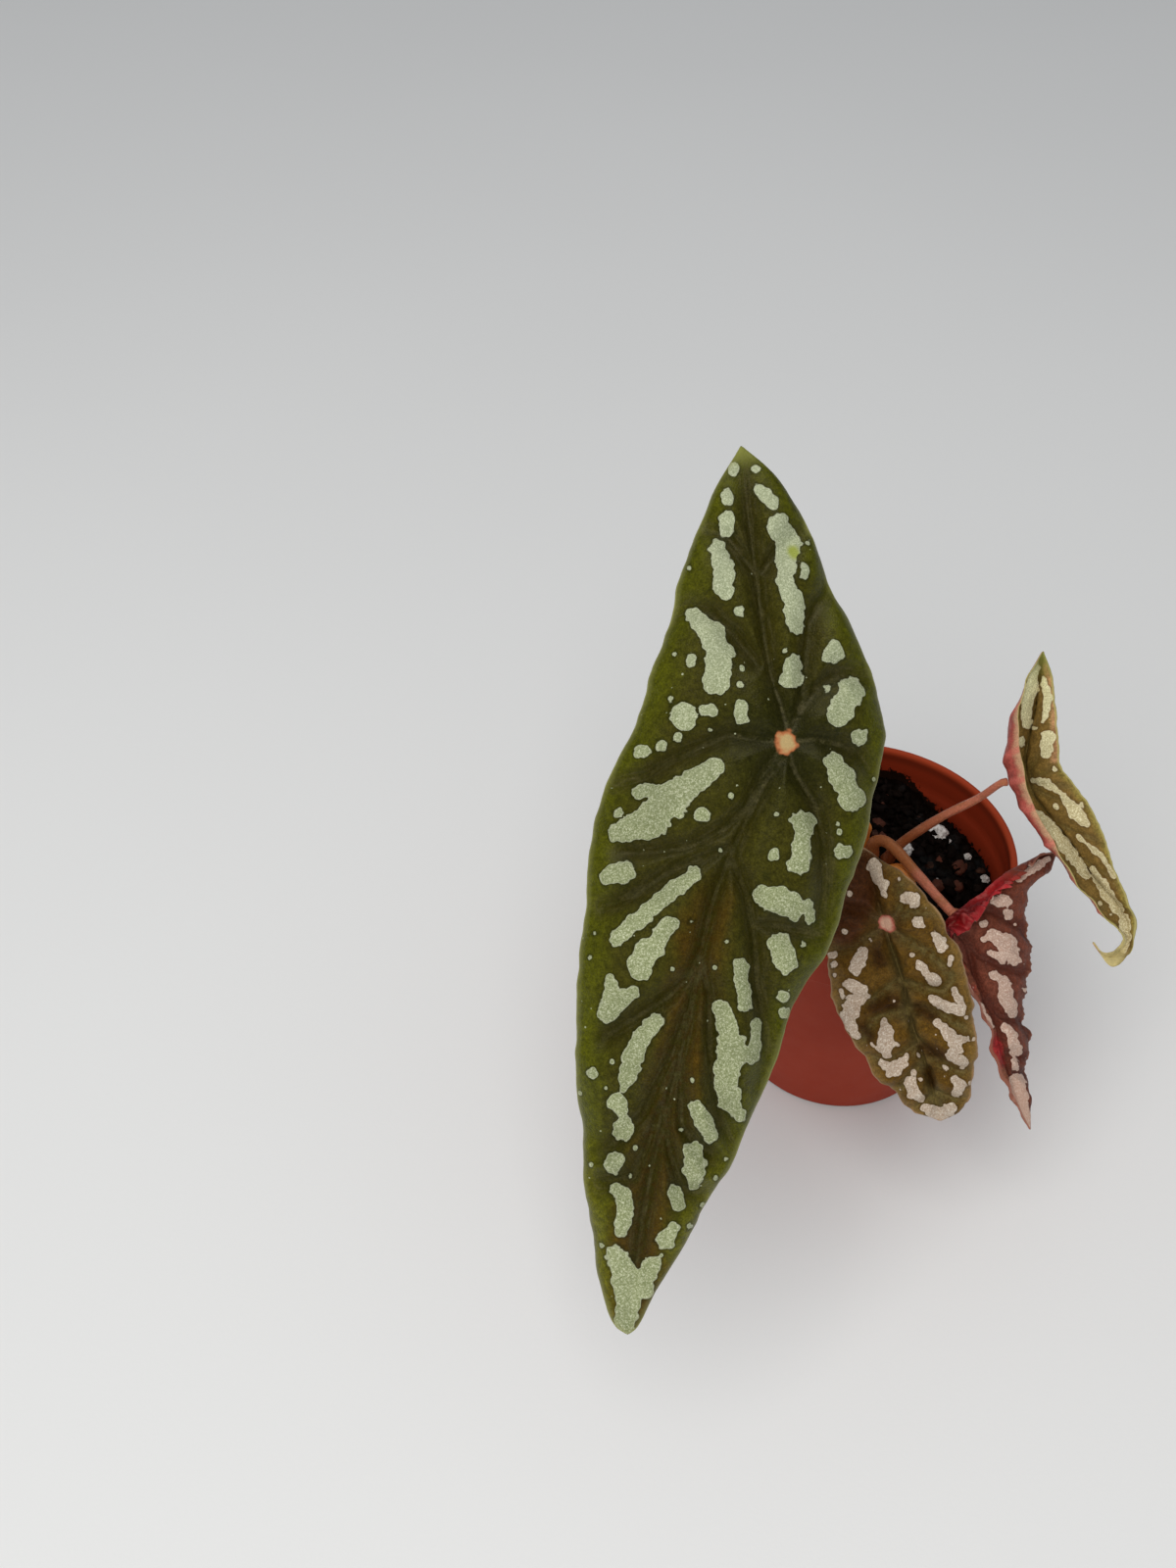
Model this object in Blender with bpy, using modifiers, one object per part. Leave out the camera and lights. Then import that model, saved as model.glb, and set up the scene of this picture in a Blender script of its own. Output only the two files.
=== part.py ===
"""Potted begonia: a small spotted-leaf begonia in a thin terracotta-coloured plastic pot.

Sizes are in millimetres until a mesh is filled. The origin is the middle of the pot's
base, +Z is up, and the plant faces -Y. Each leaf blade is a sheet stretched between
three guide curves, its left margin, its midrib and its right margin, which run from
the blade's base to its tip. Panels between the veins are raised by a formula.
"""

import math

import bmesh
import bpy
import numpy as np
from mathutils import Vector, noise

MM = 0.001
GAP = 0.3

# Pot: a tapered wall with a collar at the rim and a flat base with drain holes
POT_HEIGHT = 58.0
POT_RIM_RADIUS = 30.0
POT_BASE_RADIUS = 21.5
POT_WALL = 1.2
POT_FLOOR = 1.6
COLLAR_HEIGHT = 9.0
COLLAR_STEP = 0.6
LIP_ROUND = 0.7
FOOT_ROUND = 1.0
POT_SIDES = 48
DRAIN_HOLES = 6
DRAIN_HOLE_RADIUS = 2.5
DRAIN_CIRCLE_RADIUS = 14.0

# Soil: a peat mix that fills the pot to just below the rim
SOIL_LEVEL = 51.0
SOIL_ROUGHNESS = 1.3
SOIL_RINGS = 14
# Larger grains that stand out of the soil: x, y and radius
SOIL_GRAINS = (
    (17.0, 9.2, 2.1), (9.2, 3.7, 1.7), (22.4, 4.0, 1.3), (25.0, -2.2, 1.3), (19.3, -0.1, 1.6),
    (14.0, -6.7, 1.6), (18.7, -4.6, 1.5), (12.0, -13.5, 1.7), (-8.0, 9.0, 1.8), (-15.0, -6.0, 2.0),
    (-4.0, 17.0, 1.6), (5.0, 12.0, 1.5), (-19.0, 6.0, 1.7), (-8.5, -17.0, 1.8), (4.0, -20.0, 1.5),
)

# Stem: a short cane that the leaf stalks grow from
STEM_X = 0.0
STEM_Y = -5.0
STEM_RADIUS = 2.3
STEM_BOTTOM = 38.0
STEM_TOP = 60.5
STEM_NODES = (54.0, 58.0)
STEM_NODE_SWELL = 0.35

BLADE_THICKNESS = 0.8
STIPULE_THICKNESS = 0.6
# Angle between the midrib and its side veins, and between the rays round the stalk
VEIN_ANGLE = math.radians(52)
RAY_ANGLE = math.radians(32)

# Each leaf: guide curves from base to tip, the stalk's place on it (a share of the
# length, and of the half width, left negative), the rise of its vein panels and their
# spacing, the ripple of its margin and the ripple's length, and its grid.
LEAVES = {
    "large": {
        "midrib": ((-28.5, 14, 140.5), (-27.5, 2.5, 133.5), (-25, -17.5, 120.5),
                   (-22, -29.5, 112.5), (-26.5, -36, 108), (-34.5, -50, 96.5), (-39, -66, 82.5),
                   (-44.5, -81.5, 66.5), (-48, -98, 47.5)),
        "left": ((-28.5, 14, 140.5), (-34, 6, 134.5), (-38.5, -4, 128), (-41.5, -12.5, 121.5),
                 (-47, -25, 111), (-52.5, -33.5, 102.5), (-54, -44.5, 96), (-55.5, -61.5, 83),
                 (-54.5, -72, 70.5), (-52.5, -86, 56.5), (-51, -93.5, 51), (-49.9, -96.8, 48.5),
                 (-48, -98, 47.5)),
        "right": ((-28.5, 14, 140.5), (-21, 9, 135.5), (-15.5, -1, 128), (-11, -10.5, 121.5),
                  (-6.5, -18.5, 114.5), (-6, -27.5, 107), (-9.5, -40, 99.5), (-14, -51, 90),
                  (-21, -61, 81.5), (-25.5, -71, 74), (-33.5, -82, 62.5), (-42, -92, 53.5),
                  (-46.1, -96.7, 48.6), (-48, -98, 47.5)),
        "stalk_at": (0.345, 0.0),
        "panel_rise": 0.9, "panel_length": 15.0,
        "ripple": 0.5, "ripple_length": 17.0,
        "grid": (36, 14), "colour": (0.055, 0.085, 0.020),
    },
    "front": {
        "midrib": ((-6, -21, 80), (-3.5, -25.5, 75), (-1, -30, 68.5), (0.5, -33, 65),
                   (2.5, -37, 60.5), (4, -41.5, 55.5), (6, -45.5, 51), (8, -49.5, 46),
                   (9.5, -53, 41)),
        "left": ((-6, -21, 80), (-9, -22, 77), (-11.5, -25, 72.5), (-12.5, -29.5, 67.5),
                 (-11, -34.5, 62.5), (-9.5, -39.5, 56), (-6, -43.5, 51.5), (-2.5, -47, 47.5),
                 (1, -49, 44.5), (5, -51.5, 42), (9.5, -53, 41)),
        "right": ((-6, -21, 80), (0.5, -24, 77), (5.5, -27.5, 74.5), (9, -31.5, 71),
                  (12, -36, 67), (13.5, -39.5, 63), (14.5, -43.5, 58.5), (15, -47.5, 53.5),
                  (14.5, -50.5, 47.5), (13.5, -51.5, 42.5), (9.5, -53, 41)),
        "stalk_at": (0.29, 0.05),
        "panel_rise": 1.3, "panel_length": 7.5,
        "ripple": 0.7, "ripple_length": 7.5,
        "grid": (26, 12), "colour": (0.085, 0.055, 0.015),
    },
    "folded": {
        "midrib": ((35, -8.5, 65), (25.5, -15.5, 67), (18, -21.5, 66), (11.5, -26.5, 64.5),
                   (15, -29, 61.5), (17, -33, 55.5), (20.5, -37.5, 50.5), (22, -41.5, 45.5),
                   (24, -45.5, 40), (28, -49.5, 33)),
        "left": ((35, -8.5, 65), (29.5, -13, 68), (24.5, -19.5, 68.5), (19.5, -23.5, 69),
                 (17, -27.5, 68.5), (13.5, -30.5, 67), (11.5, -30, 65), (13, -32.5, 60.5),
                 (16.5, -37, 55), (19, -40.5, 51.5), (19.5, -43.5, 48), (22, -46.5, 43.5),
                 (24.5, -47.5, 38.5), (28, -49.5, 33)),
        "left_middle": ((35, -8.5, 65), (30.5, -11, 66), (24.5, -17.5, 69), (17.5, -23.5, 68.5),
                        (10.5, -28, 66.5), (11.5, -29.5, 62.5), (15, -33.5, 57), (19, -38.5, 50),
                        (20, -42, 46.5), (23, -45.5, 41), (28, -49.5, 33)),
        "right": ((35, -8.5, 65), (33, -12, 63.5), (29, -15, 63), (28, -17.5, 61),
                  (28, -21, 58), (29, -25, 54), (28, -29, 50.5), (27, -34, 46),
                  (28.5, -36, 44), (27.5, -41, 39), (28, -46, 35), (28, -49.5, 33)),
        "stalk_at": (0.37, 0.0),
        "panel_rise": 0.7, "panel_length": 7.0,
        "ripple": 0.4, "ripple_length": 5.5,
        "grid": (28, 12), "colour": (0.110, 0.022, 0.020),
    },
    "curled": {
        "midrib": ((27.5, 4, 104), (27, -0.5, 95), (26, -4, 90), (25.5, -7, 86), (27, -11, 82.5),
                   (31, -15, 79), (34, -18.5, 76.5), (37, -22.5, 73.5), (40.5, -26, 71.5),
                   (43, -29, 69.5), (42.5, -33, 68), (40, -36, 67), (37.5, -36, 67),
                   (35.5, -34, 68.5)),
        "left": ((27.5, 4, 104), (24.5, -0.5, 102.5), (23, -3.5, 100.5), (22, -8.5, 96.5),
                 (23, -14, 91), (25, -17.5, 86), (28.5, -21.5, 81.5), (32, -26.5, 77),
                 (36.5, -30, 73), (39.5, -32.5, 70.5), (41, -34, 69), (39.5, -35.5, 68),
                 (37, -36, 68), (35.5, -34, 68.5)),
        "left_middle": ((27.5, 4, 104), (25, 1, 101), (22.5, -3.5, 96), (20.5, -8.5, 91.5),
                        (21.5, -12, 87), (24.5, -17, 82.5), (27.5, -20, 79.5), (31, -22.5, 76.5),
                        (35, -26.5, 73), (38.5, -30, 70.5), (41.5, -33, 68.5), (40, -35.5, 67),
                        (37.5, -36, 67), (35.5, -34, 68.5)),
        "right": ((27.5, 4, 104), (29, 0.5, 101), (29.5, -4, 97), (30, -8.5, 92.5),
                  (30.5, -10.5, 89.5), (33, -13, 87), (36, -16, 84), (38.5, -20, 80),
                  (40, -24, 76.5), (42, -28.5, 73.5), (43.5, -31.5, 70), (42, -35.5, 67),
                  (38.5, -37.5, 66), (35.5, -34, 68.5)),
        "stalk_at": (0.36, -0.45),
        "panel_rise": 0.5, "panel_length": 8.0,
        "ripple": 0.25, "ripple_length": 7.0,
        "grid": (32, 10), "colour": (0.110, 0.095, 0.020),
    },
}

# Leaf stalks: points from the stem towards the blade, and the radius at each end
STALKS = {
    "large": {"path": ((-3.8, -6.6, 56.5), (-5.8, -10.0, 65.0), (-12.0, -18.5, 88.0),
                       (-19.0, -25.8, 103.5)),
              "radius": (1.5, 1.1)},
    "front": {"path": ((-0.3, -8.25, 55.5), (-0.6, -14.0, 58.0), (-0.9, -22.0, 62.5)),
              "radius": (1.2, 0.9)},
    "folded": {"path": ((0.3, -5.8, 61.55), (0.5, -6.2, 65.0), (2.2, -7.4, 66.7),
                        (4.5, -10.4, 66.6), (7.5, -15.5, 65.9)),
               "radius": (1.2, 0.85)},
    "curled": {"path": ((3.7, -5.4, 59.5), (6.0, -6.2, 65.4), (12.0, -7.0, 72.8),
                        (17.5, -8.3, 78.8)),
               "radius": (1.0, 0.8)},
}
STALK_LEAD = 2.0
# A stalk ends a little short of its blade, which dips between the veins there
STALK_GAP = 0.5
STALK_POINTS = 14

# Stipules: papery sheaths at the foot of the stalks
STIPULES = {
    "front": {
        "midrib": ((1.6, -7.65, 56.5), (2.9, -9.8, 61.0), (5.2, -12.6, 63.6), (7.6, -17.0, 63.4)),
        "left": ((1.6, -7.65, 56.5), (1.4, -10.6, 62.0), (3.7, -14.0, 64.4), (7.6, -17.0, 63.4)),
        "right": ((1.6, -7.65, 56.5), (4.2, -8.8, 60.4), (6.6, -11.4, 63.0), (7.6, -17.0, 63.4)),
    },
    "back": {
        "midrib": ((-0.5, -1.85, 55.2), (-1.2, 0.0, 59.5), (-1.6, 0.0, 64.0), (-1.2, -1.6, 68.0)),
        "left": ((-0.5, -1.85, 55.2), (1.0, -0.6, 59.5), (0.6, -0.8, 64.0), (-1.2, -1.6, 68.0)),
        "right": ((-0.5, -1.85, 55.2), (-3.3, -1.2, 59.5), (-3.4, -1.4, 64.0), (-1.2, -1.6, 68.0)),
    },
}
STIPULE_GRID = (10, 4)


def clear_scene():
    for old in list(bpy.data.objects):
        bpy.data.objects.remove(old, do_unlink=True)


def make_collection(name):
    collection = bpy.data.collections.new(name)
    bpy.context.scene.collection.children.link(collection)
    return collection


def make_material(name, colour, roughness):
    material = bpy.data.materials.new(name)
    material.use_nodes = True
    shader = material.node_tree.nodes["Principled BSDF"]
    shader.inputs["Base Color"].default_value = (*colour, 1.0)
    shader.inputs["Roughness"].default_value = roughness
    shader.inputs["Metallic"].default_value = 0.0
    return material


def add_object(name, data, collection, material=None):
    thing = bpy.data.objects.new(name, data)
    collection.objects.link(thing)
    if material is not None:
        data.materials.append(material)
    return thing


def smooth_curve(points, count):
    """Catmull-Rom curve through the points, sampled at even steps of its length."""
    knots = np.array(points, float)
    padded = np.vstack([2 * knots[0] - knots[1], knots, 2 * knots[-1] - knots[-2]])
    u = np.linspace(0.0, 1.0, 40, endpoint=False)[:, None]
    spans = []
    for a, b, c, d in zip(padded, padded[1:], padded[2:], padded[3:]):
        cubic = 3 * b - a - 3 * c + d
        square = 2 * a - 5 * b + 4 * c - d
        spans.append(0.5 * (2 * b + (c - a) * u + square * u**2 + cubic * u**3))
    curve = np.vstack(spans + [knots[-1:]])
    steps = np.linalg.norm(np.diff(curve, axis=0), axis=1)
    run = np.concatenate([[0.0], np.cumsum(steps)])
    wanted = np.linspace(0.0, run[-1], count)
    return np.column_stack([np.interp(wanted, run, curve[:, axis]) for axis in range(3)])


def read_curve(curve, share):
    """Points at the given shares (0 to 1) of a sampled curve's length."""
    places = np.linspace(0.0, 1.0, len(curve))
    return np.column_stack([np.interp(share, places, curve[:, axis]) for axis in range(3)])


def unit(vectors):
    return vectors / np.maximum(np.linalg.norm(vectors, axis=-1, keepdims=True), 1e-9)


class Blade:
    """A leaf blade's middle surface, read at (along, across), across from -1 to 1."""

    SAMPLES = 241
    STEP = 0.004

    def __init__(self, guides):
        self.guides = guides
        self.midrib = smooth_curve(guides["midrib"], self.SAMPLES)
        self.margin = {
            -1: smooth_curve(guides["left"], self.SAMPLES),
            1: smooth_curve(guides["right"], self.SAMPLES),
        }
        steps = np.linalg.norm(np.diff(self.midrib, axis=0), axis=1)
        self.length = steps.sum()
        self.middle = {-1: self.bowed(-1), 1: self.bowed(1)}
        if "left_middle" in guides:
            self.middle[-1] = smooth_curve(guides["left_middle"], self.SAMPLES)

    def bowed(self, side):
        """Half-way curve of one half, raised a little so that the half is crowned."""
        reach = self.margin[side] - self.midrib
        width = np.linalg.norm(reach, axis=1)
        along = np.gradient(self.midrib, axis=0)
        up = unit(np.cross(along, reach)) * side
        rise = self.guides.get("bow", 1.0) * width / max(width.max(), 1e-9)
        return 0.5 * (self.midrib + self.margin[side]) + up * rise[:, None]

    def sheet(self, along, across):
        points = np.zeros((len(along), 3))
        for side in (-1, 1):
            here = across < 0 if side < 0 else across >= 0
            if not here.any():
                continue
            share = np.abs(across[here])[:, None]
            rib = read_curve(self.midrib, along[here])
            edge = read_curve(self.margin[side], along[here])
            pull = 2 * read_curve(self.middle[side], along[here]) - 0.5 * (rib + edge)
            points[here] = rib * (1 - share) ** 2 + 2 * pull * share * (1 - share) + edge * share**2
        return points

    def normal(self, along, across):
        low = np.clip(along - self.STEP, 0.0, 1.0)
        high = np.clip(along + self.STEP, 0.0, 1.0)
        left = np.clip(across - self.STEP, -1.0, 1.0)
        right = np.clip(across + self.STEP, -1.0, 1.0)
        lengthwise = self.sheet(high, across) - self.sheet(low, across)
        crosswise = self.sheet(along, right) - self.sheet(along, left)
        return unit(np.cross(lengthwise, crosswise))

    def relief(self, along, across):
        """Height of the panels between the veins, plus the ripple of the margin."""
        guides = self.guides
        if "panel_rise" not in guides:
            return np.zeros(len(along))
        rib = read_curve(self.midrib, along)
        out = np.linalg.norm(self.sheet(along, across) - rib, axis=1)
        past = (along - guides["stalk_at"][0]) * self.length
        turn = np.arctan2(out, past)
        ray = (turn - VEIN_ANGLE) / RAY_ANGLE
        side_vein = (out / math.tan(VEIN_ANGLE) - past) / guides["panel_length"]
        phase = np.where(turn > VEIN_ANGLE, ray, side_vein)
        panel = np.abs(np.sin(math.pi * phase)) ** 0.7
        spread = np.hypot(out, past) / guides["panel_length"]
        fade = np.clip(spread * 1.4 - 0.35, 0.0, 1.0) * np.clip(out / 2.5, 0.0, 1.0)
        fade *= 1.0 - across**4
        taper = np.clip(np.sin(math.pi * along) * 3.0, 0.0, 1.0)
        wave = np.sin(math.tau * along * self.length / guides["ripple_length"] + across)
        ripple = guides["ripple"] * np.abs(across) ** 3 * wave
        return (guides["panel_rise"] * panel * fade + ripple) * taper

    def surface(self, along, across):
        lift = self.relief(along, across)[:, None]
        return self.sheet(along, across) + self.normal(along, across) * lift


def sheet_object(name, blade, grid, thickness, collection, material):
    """Thin closed solid: a grid laid on the blade's surface, with Solidify."""
    rows, columns = grid
    work = bmesh.new()
    bmesh.ops.create_grid(work, x_segments=columns, y_segments=rows, size=1.0)
    across = np.array([-v.co.x for v in work.verts])
    along = np.array([(v.co.y + 1.0) / 2.0 for v in work.verts])
    for vert, place in zip(work.verts, blade.surface(along, across)):
        vert.co = Vector(place) * MM
    bmesh.ops.remove_doubles(work, verts=work.verts, dist=0.01 * MM)
    bmesh.ops.triangulate(work, faces=work.faces, quad_method="SHORT_EDGE")
    mesh = bpy.data.meshes.new(name)
    work.to_mesh(mesh)
    work.free()
    thing = add_object(name, mesh, collection, material)
    solid = thing.modifiers.new("Thickness", "SOLIDIFY")
    solid.thickness = thickness * MM
    solid.offset = 0.0
    mesh.shade_smooth()
    return thing


def turned_object(name, profile, sides, collection, material):
    """Turned solid: a profile of (radius, height) pairs with a Screw modifier."""
    mesh = bpy.data.meshes.new(name)
    points = [(radius * MM, 0.0, height * MM) for radius, height in profile]
    mesh.from_pydata(points, [(k, k + 1) for k in range(len(points) - 1)], [])
    thing = add_object(name, mesh, collection, material)
    turn = thing.modifiers.new("Turn", "SCREW")
    turn.axis = "Z"
    turn.steps = sides
    turn.render_steps = sides
    turn.use_merge_vertices = True
    turn.merge_threshold = 0.00005
    return thing


def apply_modifiers(thing):
    """Swap the object's data for its evaluated mesh."""
    graph = bpy.context.evaluated_depsgraph_get()
    mesh = bpy.data.meshes.new_from_object(thing.evaluated_get(graph))
    thing.modifiers.clear()
    thing.data = mesh
    return mesh


def cut(thing, cutter):
    """Take the cutter's shape out of the object."""
    cutter.hide_render = True
    cutter.display_type = "WIRE"
    boolean = thing.modifiers.new("Cut by " + cutter.name, "BOOLEAN")
    boolean.operation = "DIFFERENCE"
    boolean.solver = "EXACT"
    boolean.object = cutter


def add_cylinder(name, radius, low, high, x, y, sides, collection):
    work = bmesh.new()
    bmesh.ops.create_cone(
        work, cap_ends=True, segments=sides, radius1=radius * MM, radius2=radius * MM,
        depth=(high - low) * MM,
    )
    mesh = bpy.data.meshes.new(name)
    work.to_mesh(mesh)
    work.free()
    thing = add_object(name, mesh, collection)
    thing.location = (x * MM, y * MM, (low + high) / 2 * MM)
    return thing


def corner(centre, radius, start, end, steps=3):
    """Points of a rounded corner, angles in degrees from the outward direction."""
    angles = [math.radians(start + (end - start) * k / steps) for k in range(steps + 1)]
    return [(centre[0] + radius * math.cos(a), centre[1] + radius * math.sin(a)) for a in angles]


def wall_radius(height):
    """Outer radius of the pot's tapered wall below the collar."""
    top = POT_RIM_RADIUS - COLLAR_STEP - 0.4
    share = height / (POT_HEIGHT - COLLAR_HEIGHT)
    return POT_BASE_RADIUS + (top - POT_BASE_RADIUS) * share


def inner_radius(height):
    return wall_radius(height) - POT_WALL


def build_pot(collection, cutters):
    collar_foot = POT_HEIGHT - COLLAR_HEIGHT
    rim_mid = POT_RIM_RADIUS - LIP_ROUND
    inside_top = rim_mid - LIP_ROUND
    profile = [(0.0, POT_FLOOR), (inner_radius(POT_FLOOR) - 1.2, POT_FLOOR)]
    profile.append((inner_radius(POT_FLOOR + 1.2), POT_FLOOR + 1.2))
    profile.append((inner_radius(collar_foot), collar_foot))
    profile.append((inside_top, collar_foot + 1.6))
    profile += corner((rim_mid, POT_HEIGHT - LIP_ROUND), LIP_ROUND, 180, 0, 4)
    profile.append((wall_radius(collar_foot) + COLLAR_STEP, collar_foot + 0.4))
    profile.append((wall_radius(collar_foot) + COLLAR_STEP - 0.3, collar_foot))
    profile.append((wall_radius(collar_foot - 0.2), collar_foot - 0.2))
    profile += corner((POT_BASE_RADIUS - FOOT_ROUND, FOOT_ROUND), FOOT_ROUND, 0, -90)
    profile.append((0.0, 0.0))
    material = make_material("Terracotta plastic", (0.260, 0.045, 0.022), 0.45)
    pot = turned_object("pot", profile, POT_SIDES, collection, material)
    for k in range(DRAIN_HOLES):
        angle = math.tau * (k + 0.5) / DRAIN_HOLES
        x = DRAIN_CIRCLE_RADIUS * math.cos(angle)
        y = DRAIN_CIRCLE_RADIUS * math.sin(angle)
        name = f"drain_hole_{k + 1}"
        cut(pot, add_cylinder(name, DRAIN_HOLE_RADIUS, -2.0, 4.0, x, y, 16, cutters))
    return pot


def soil_height(x, y):
    """Height of the soil's top: a low mound, crumbs, and the larger grains."""
    mound = 1.2 * math.cos(math.pi * min(math.hypot(x, y) / 56.0, 1.0))
    coarse = noise.noise(Vector((x * 0.16, y * 0.16, 3.7)))
    fine = noise.noise(Vector((x * 0.42, y * 0.42, 9.1)))
    height = SOIL_LEVEL + mound + SOIL_ROUGHNESS * (coarse + 0.7 * fine)
    for grain_x, grain_y, radius in SOIL_GRAINS:
        away = math.hypot(x - grain_x, y - grain_y) / (radius * 1.3)
        if away < 1.0:
            height += radius * 0.8 * math.sqrt(1.0 - away**2)
    return height


def build_soil(collection, cutters):
    bottom = POT_FLOOR + GAP
    edge = inner_radius(SOIL_LEVEL) - GAP
    foot = inner_radius(bottom + 1.5) - GAP - 1.2
    profile = [(edge * k / SOIL_RINGS, SOIL_LEVEL) for k in range(SOIL_RINGS + 1)]
    profile.append((inner_radius(SOIL_LEVEL * 0.5) - GAP, SOIL_LEVEL * 0.5))
    profile.append((inner_radius(bottom + 3.0) - GAP, bottom + 3.0))
    profile.append((foot, bottom))
    profile.append((0.0, bottom))
    material = make_material("Peat mix", (0.018, 0.012, 0.009), 0.95)
    soil = turned_object("soil", profile, POT_SIDES, collection, material)
    mesh = apply_modifiers(soil)
    for vert in mesh.vertices:
        if vert.co.z > (SOIL_LEVEL - 0.1) * MM:
            vert.co.z = soil_height(vert.co.x / MM, vert.co.y / MM) * MM
    hole = add_cylinder(
        "stem_hole", STEM_RADIUS + STEM_NODE_SWELL + GAP, STEM_BOTTOM - GAP, STEM_TOP,
        STEM_X, STEM_Y, 20, cutters,
    )
    cut(soil, hole)
    return soil


def build_stem(collection):
    profile = [(0.0, STEM_TOP + 0.6), (STEM_RADIUS * 0.7, STEM_TOP), (STEM_RADIUS, STEM_TOP - 1.2)]
    for node in sorted(STEM_NODES, reverse=True):
        profile.append((STEM_RADIUS, node + 0.9))
        profile.append((STEM_RADIUS + STEM_NODE_SWELL, node))
        profile.append((STEM_RADIUS, node - 0.9))
    profile += [(STEM_RADIUS, STEM_BOTTOM + 0.8), (STEM_RADIUS - 0.6, STEM_BOTTOM), (0.0, STEM_BOTTOM)]
    material = make_material("Cane", (0.180, 0.060, 0.025), 0.6)
    stem = turned_object("stem", profile, 16, collection, material)
    stem.location = (STEM_X * MM, STEM_Y * MM, 0.0)
    return stem


def build_leaf(name, collection):
    guides = LEAVES[name]
    blade = Blade(guides)
    material = make_material("Blade " + name, guides["colour"], 0.45)
    title = "leaf_" + name
    sheet_object(title, blade, guides["grid"], BLADE_THICKNESS, collection, material)
    return blade


def build_stalk(name, blade, collection):
    """Leaf stalk: a tapered tube that meets the underside of its blade squarely."""
    stalk = STALKS[name]
    along, across = (np.array([share]) for share in LEAVES[name]["stalk_at"])
    seat = blade.surface(along, across)[0]
    up = blade.normal(along, across)[0]
    end = seat - up * (BLADE_THICKNESS / 2 + STALK_GAP)
    lead = seat - up * STALK_LEAD
    points = smooth_curve(stalk["path"] + (tuple(lead), tuple(end)), STALK_POINTS)
    curve = bpy.data.curves.new("petiole_" + name, "CURVE")
    curve.dimensions = "3D"
    curve.bevel_depth = MM
    curve.bevel_resolution = 2
    curve.use_fill_caps = True
    spline = curve.splines.new("POLY")
    spline.points.add(STALK_POINTS - 1)
    first, last = stalk["radius"]
    for k, place in enumerate(points):
        share = k / (STALK_POINTS - 1)
        spline.points[k].co = (*(Vector(place) * MM), 1.0)
        spline.points[k].radius = first + (last - first) * share
    material = make_material("Stalk " + name, (0.300, 0.085, 0.050), 0.5)
    return add_object("petiole_" + name, curve, collection, material)


def build_stipule(name, collection):
    material = make_material("Stipule " + name, (0.330, 0.110, 0.035), 0.6)
    blade = Blade(STIPULES[name])
    title = "stipule_" + name
    sheet_object(title, blade, STIPULE_GRID, STIPULE_THICKNESS, collection, material)


def main():
    clear_scene()
    plant = make_collection("potted_begonia")
    cutters = make_collection("cutters")
    build_pot(plant, cutters)
    build_soil(plant, cutters)
    build_stem(plant)
    for name in STIPULES:
        build_stipule(name, plant)
    for name in LEAVES:
        build_stalk(name, build_leaf(name, plant), plant)


main()
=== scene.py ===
"""Looks of the potted begonia: fine leaf blades, stalks, sheaths, pot and soil.

Sizes are in millimetres until a mesh is filled, in the part's own frame: the origin is
the middle of the pot's base, +Z is up, and the plant faces -Y. Each fine piece keeps the
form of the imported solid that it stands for. The blades follow the guide curves of the
packed ones, within about a millimetre. Spots and veins are placed on them in the picture
plane, in millimetres at the distance of the leaf's stalk point: right, down, and the
radius of a disc.
"""

import math
from types import SimpleNamespace

import bmesh
import bpy
import numpy as np
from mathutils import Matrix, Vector, noise

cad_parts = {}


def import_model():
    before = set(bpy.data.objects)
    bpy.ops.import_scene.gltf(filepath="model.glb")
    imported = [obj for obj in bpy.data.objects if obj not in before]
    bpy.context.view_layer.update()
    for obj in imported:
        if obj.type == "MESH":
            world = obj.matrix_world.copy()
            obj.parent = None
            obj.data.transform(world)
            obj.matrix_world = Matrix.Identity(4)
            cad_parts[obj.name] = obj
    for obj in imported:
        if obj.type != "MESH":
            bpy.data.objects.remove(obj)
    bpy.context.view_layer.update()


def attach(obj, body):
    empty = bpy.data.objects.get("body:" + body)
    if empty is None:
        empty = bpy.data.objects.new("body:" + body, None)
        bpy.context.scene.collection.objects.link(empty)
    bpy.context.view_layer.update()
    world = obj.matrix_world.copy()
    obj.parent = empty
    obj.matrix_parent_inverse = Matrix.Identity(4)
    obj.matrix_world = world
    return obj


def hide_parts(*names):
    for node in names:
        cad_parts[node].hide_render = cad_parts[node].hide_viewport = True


MM = 0.001
UNSCALED = 1.0 / MM
FAR = 1000.0
SEED = 7

# Camera of the photograph: place, tilt down from level, and lens on a 36 mm tall frame
CAMERA_AT = np.array([-54.3, -228.3, 295.3])
CAMERA_DOWN = math.radians(44.02)
CAMERA_LENS = 38.35
CAMERA_FRAME = 36.0
CAMERA_FORWARD = np.array([0.0, math.cos(CAMERA_DOWN), -math.sin(CAMERA_DOWN)])
CAMERA_UP = np.array([0.0, math.sin(CAMERA_DOWN), math.cos(CAMERA_DOWN)])
CAMERA_RIGHT = np.array([1.0, 0.0, 0.0])

# Stage, in metres: a pale floor, a soft light from above and a gleam from behind
FLOOR_SIZE = 6.0
FLOOR_DROP = 0.0001
SKY_COLOUR = (0.93, 0.96, 1.0, 1.0)
SKY_STRENGTH = 0.44
SOFTBOX = SimpleNamespace(name="softbox", place=(-0.24, -0.5, 0.79), target=(0.0, -0.03, 0.0),
                          size=0.8, power=6.4, colour=(1.0, 0.985, 0.96))
GLEAM = SimpleNamespace(name="gleam", place=(0.0, 0.25, 0.85), target=(0.0, -0.03, 0.05),
                        size=0.5, power=2.4, colour=(1.0, 0.93, 0.66))

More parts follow.
